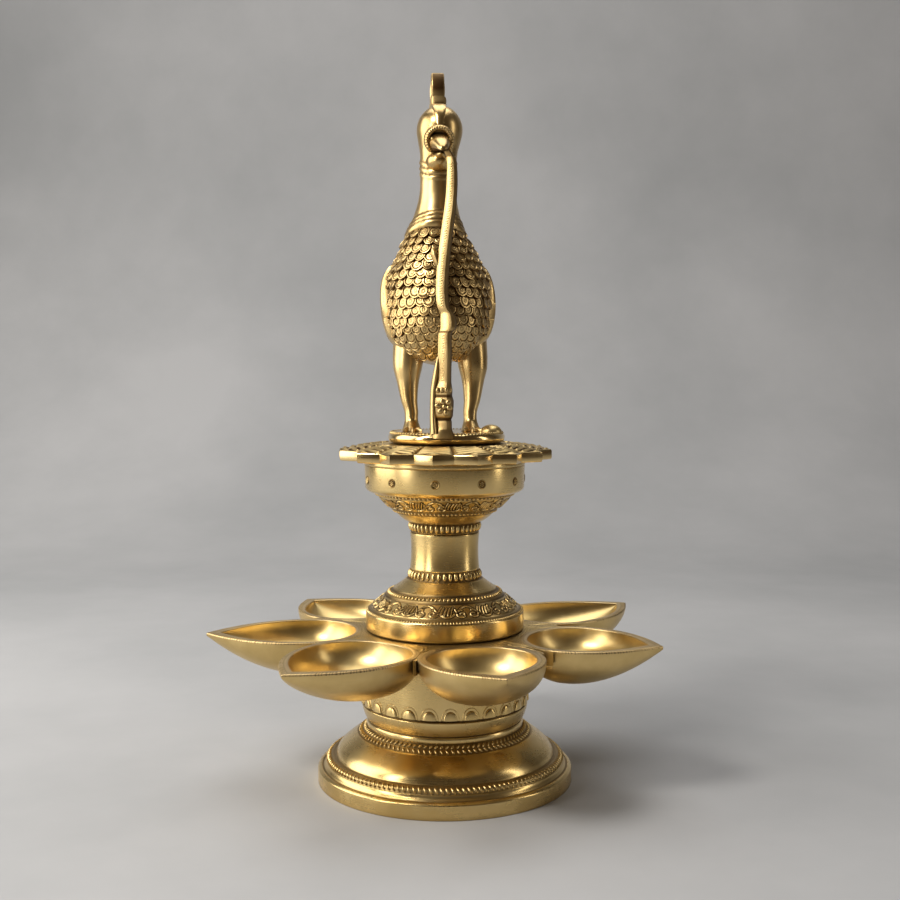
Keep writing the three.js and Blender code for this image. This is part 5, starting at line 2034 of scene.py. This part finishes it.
    def _plate(self) -> None:
        """The bird's plate with its edge, boss and beads."""
        low, high = 147.5, 152.3
        sides = 168
        angles = round_angles(sides)
        wave = 25.2 + 0.2 * np.sin(7 * angles) * np.cos(2 * angles)
        ring = unit_ring(angles)
        rows = []
        edge = ((21.0, low), (1.5, low), (0.6, low + 0.4), (0.1, low + 1.2), (-0.2, (low + high) / 2),
                (0.1, high - 1.5), (0.7, high - 0.6), (1.6, high - 0.12), (2.6, high), (12.0, high),
                (24.0, high))
        for inset, z in edge:
            flat = ring * (wave - inset)[:, None] + np.array((0.8, 0.0))
            rows.append(np.column_stack([flat, np.full(sides, z)]))
        sheet = net(np.array(rows), around=True, caps=True)
        finished("bird_plate_disc", sheet.mesh("bird_plate_disc"), POLISHED, self.section, ("bird_plate",))
        lying = offset(19.9, -5.0, high - 0.9) @ rotate(-90, "Y")
        boss = dome(5.0, 5.0, 4.0, rings=6, sides=24, rim=0.9).moved(lying)
        finished("bird_plate_boss", boss.mesh("bird_plate_boss"), CAST, self.section, ("bird_plate",))
        bead = dome(0.62, 0.85, 0.62, rings=2, sides=8, rim=1.0)
        ring = REPEATS.ring(bead, CAST, 96, 24.0, high - 0.45, lean=-48, place=offset(0.8, 0, 0))
        finished("bird_plate_beads", ring, CAST, self.section, ("bird_plate",))


@dataclass
class Fasteners:
    """The studs with their threads, and the nut and washer under the foot."""

    pitch: float = 1.25
    cut: float = 0.45

    def stud(self, name: str, node: str, section: Section) -> None:
        """Makes a threaded rod where the frame's plain stud is.

        Args:
            name: the piece's name.
            node: the stud's node.
            section: the body that it rides on.
        """
        low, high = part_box(node)
        z0, z1, radius = low.z / MM, high.z / MM, (high.x - low.x) / 2 / MM
        sides, rows = 32, []
        angles = round_angles(sides)
        for z in np.arange(z0, z1 - 0.05, self.pitch / 8):
            turn = (z / self.pitch - angles / (2 * math.pi)) % 1.0
            size = radius - self.cut * np.abs(2 * turn - 1) - 0.02
            end = min(1.0, 0.82 + 0.25 * min(z - z0, z1 - z))
            rows.append(oval(0.0, 0.0, size * end, size * end, z, angles))
        sheet = net(np.array(rows), around=True, caps=True)
        finished(name, sheet.mesh(name), THREAD, section, (node,))

    def build(self) -> None:
        """Makes the studs and paints the nut and washer."""
        self.stud("foot_stud_thread", "foot_stud", Section.FOOT)
        self.stud("bowl_stud_thread", "bowl_stud", Section.DRUM)
        self.stud("bird_stud_thread", "bird_stud", Section.BIRD)
        for node in ("foot_washer", "foot_nut"):
            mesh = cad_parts[node].data
            mesh.materials.clear()
            mesh.materials.append(BRASS.material(THREAD))


@dataclass
class Studio:
    """A pale floor, soft lights and the camera where the photograph was taken."""

    distance: float = 0.5222
    height: float = 0.1760
    aside: float = 0.0023
    pitch: float = 3.5
    lens: float = 48.13
    aim: tuple[float, float, float] = (0.0, 0.0, 0.14)

    def _pale(self) -> bpy.types.Material:
        """The floor's material, with a painted fall-off of light that makes it a little darker in front.

        Returns:
            The material.
        """
        material = bpy.data.materials.new("PaleFloor")
        material.use_nodes = True
        g = Graph(material.node_tree)
        shader = material.node_tree.nodes["Principled BSDF"]
        place = g.add("ShaderNodeTexCoord").outputs["Object"]
        tone = g.remap(g.noise(place, 3.0, 6.0, 0.6), 0.3, 0.7, 0.0, 1.0)
        colour = g.mix(tone, (0.38, 0.385, 0.39, 1), (0.50, 0.50, 0.505, 1))
        # Painted shade: the floor darkens towards the camera.
        near = g.remap(g.add("ShaderNodeSeparateXYZ", {0: place}).outputs[1], -0.50, -0.20, 0.0, 1.0)
        shown = g.mix(near, (0.27, 0.26, 0.25, 1), colour)
        material.node_tree.links.new(shown, shader.inputs["Base Color"])
        shader.inputs["Roughness"].default_value = 0.85
        shader.inputs["Specular IOR Level"].default_value = 0.2
        return material

    def _sweep(self) -> None:
        """The floor and the wall behind it, in one curve."""
        profile = [(-2.2, 0.0), (0.55, 0.0)]
        turns = np.linspace(0.1, math.pi / 2, 16)
        profile += [(0.55 + 0.5 * math.sin(a), 0.5 - 0.5 * math.cos(a)) for a in turns]
        profile += [(1.05, 2.6)]
        points = [(x, y, z) for y, z in profile for x in (-3.0, 3.0)]
        faces = [(2 * i, 2 * i + 1, 2 * i + 3, 2 * i + 2) for i in range(len(profile) - 1)]
        mesh = bpy.data.meshes.new("floor")
        mesh.from_pydata(points, [], faces)
        mesh.polygons.foreach_set("use_smooth", [True] * len(mesh.polygons))
        mesh.materials.append(self._pale())
        add_object("floor", mesh)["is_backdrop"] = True

    def _light(self, name: str, place: tuple[float, float, float], size: tuple[float, float], power: float,
               colour: tuple[float, float, float] = (1.0, 1.0, 1.0)) -> None:
        """Adds a soft light that looks at the lamp.

        Args:
            name: its name.
            place: where it stands, in metres.
            size: its width and height.
            power: its power in watts.
            colour: its colour.
        """
        light = bpy.data.lights.new(name, "AREA")
        light.shape, light.size, light.size_y = "RECTANGLE", size[0], size[1]
        light.energy, light.color = power, colour
        lamp = add_object(name, light)
        lamp.location = place
        lamp.rotation_euler = (Vector(self.aim) - Vector(place)).to_track_quat("-Z", "Y").to_euler()
        lamp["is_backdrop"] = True

    def build(self) -> None:
        """Sets the stage."""
        self._sweep()
        world = bpy.data.worlds.new("studio")
        world.use_nodes = True
        background = world.node_tree.nodes["Background"]
        background.inputs[0].default_value = (0.26, 0.20, 0.15, 1)
        background.inputs[1].default_value = 0.22
        bpy.context.scene.world = world
        self._light("left", (-0.95, 0.05, 0.42), (0.75, 1.00), 8.0, (1.0, 0.98, 0.94))
        self._light("front left", (-0.80, -0.56, 0.38), (0.24, 0.70), 3.6, (1.0, 0.97, 0.92))
        self._light("key", (-0.62, -0.55, 1.00), (0.28, 0.28), 6.5, (1.0, 0.96, 0.90))
        self._light("right", (0.95, -0.16, 0.40), (0.12, 0.80), 1.2, (1.0, 0.95, 0.88))
        self._light("top", (0.0, 0.10, 1.25), (0.8, 0.6), 4.0)
        self._light("back", (0.0, 0.75, 1.60), (1.6, 0.5), 5.5)
        camera_data = bpy.data.cameras.new("camera")
        camera_data.lens, camera_data.sensor_width = self.lens, 36.0
        camera_data.clip_start, camera_data.clip_end = 0.01, 20.0
        camera = add_object("camera", camera_data)
        camera.location = AXIS + Vector((self.aside, -self.distance, self.height))
        camera.rotation_euler = (math.radians(90 - self.pitch), 0, 0)
        bpy.context.scene.camera = camera
        bpy.context.scene.view_settings.view_transform = "Standard"


def sizes() -> list[list[float]]:
    """The shown object's lowest and highest corner, as plain numbers."""
    return [[round(float(v), 6) for v in corner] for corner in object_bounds()]


def main() -> None:
    """Builds the lamp and the studio round it."""
    logging.basicConfig(level=logging.INFO, format="%(name)s: %(message)s")
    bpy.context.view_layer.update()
    Foot(Section.FOOT, ("foot_base",), TURNED).build()
    Tray(Section.TRAY, ("oil_tray",), CAST).build()
    Column(Section.COLUMN, ("column",), TURNED).build()
    Drum(Section.DRUM, ("drum_bowl",), TURNED).build()
    Lotus(Section.LOTUS, ("lotus_plate",), CAST).build()
    Bird(Section.BIRD, ("bird_body",), CHASED).build()
    Fasteners().build()
    Studio().build()


if __name__ == "__main__":
    main()
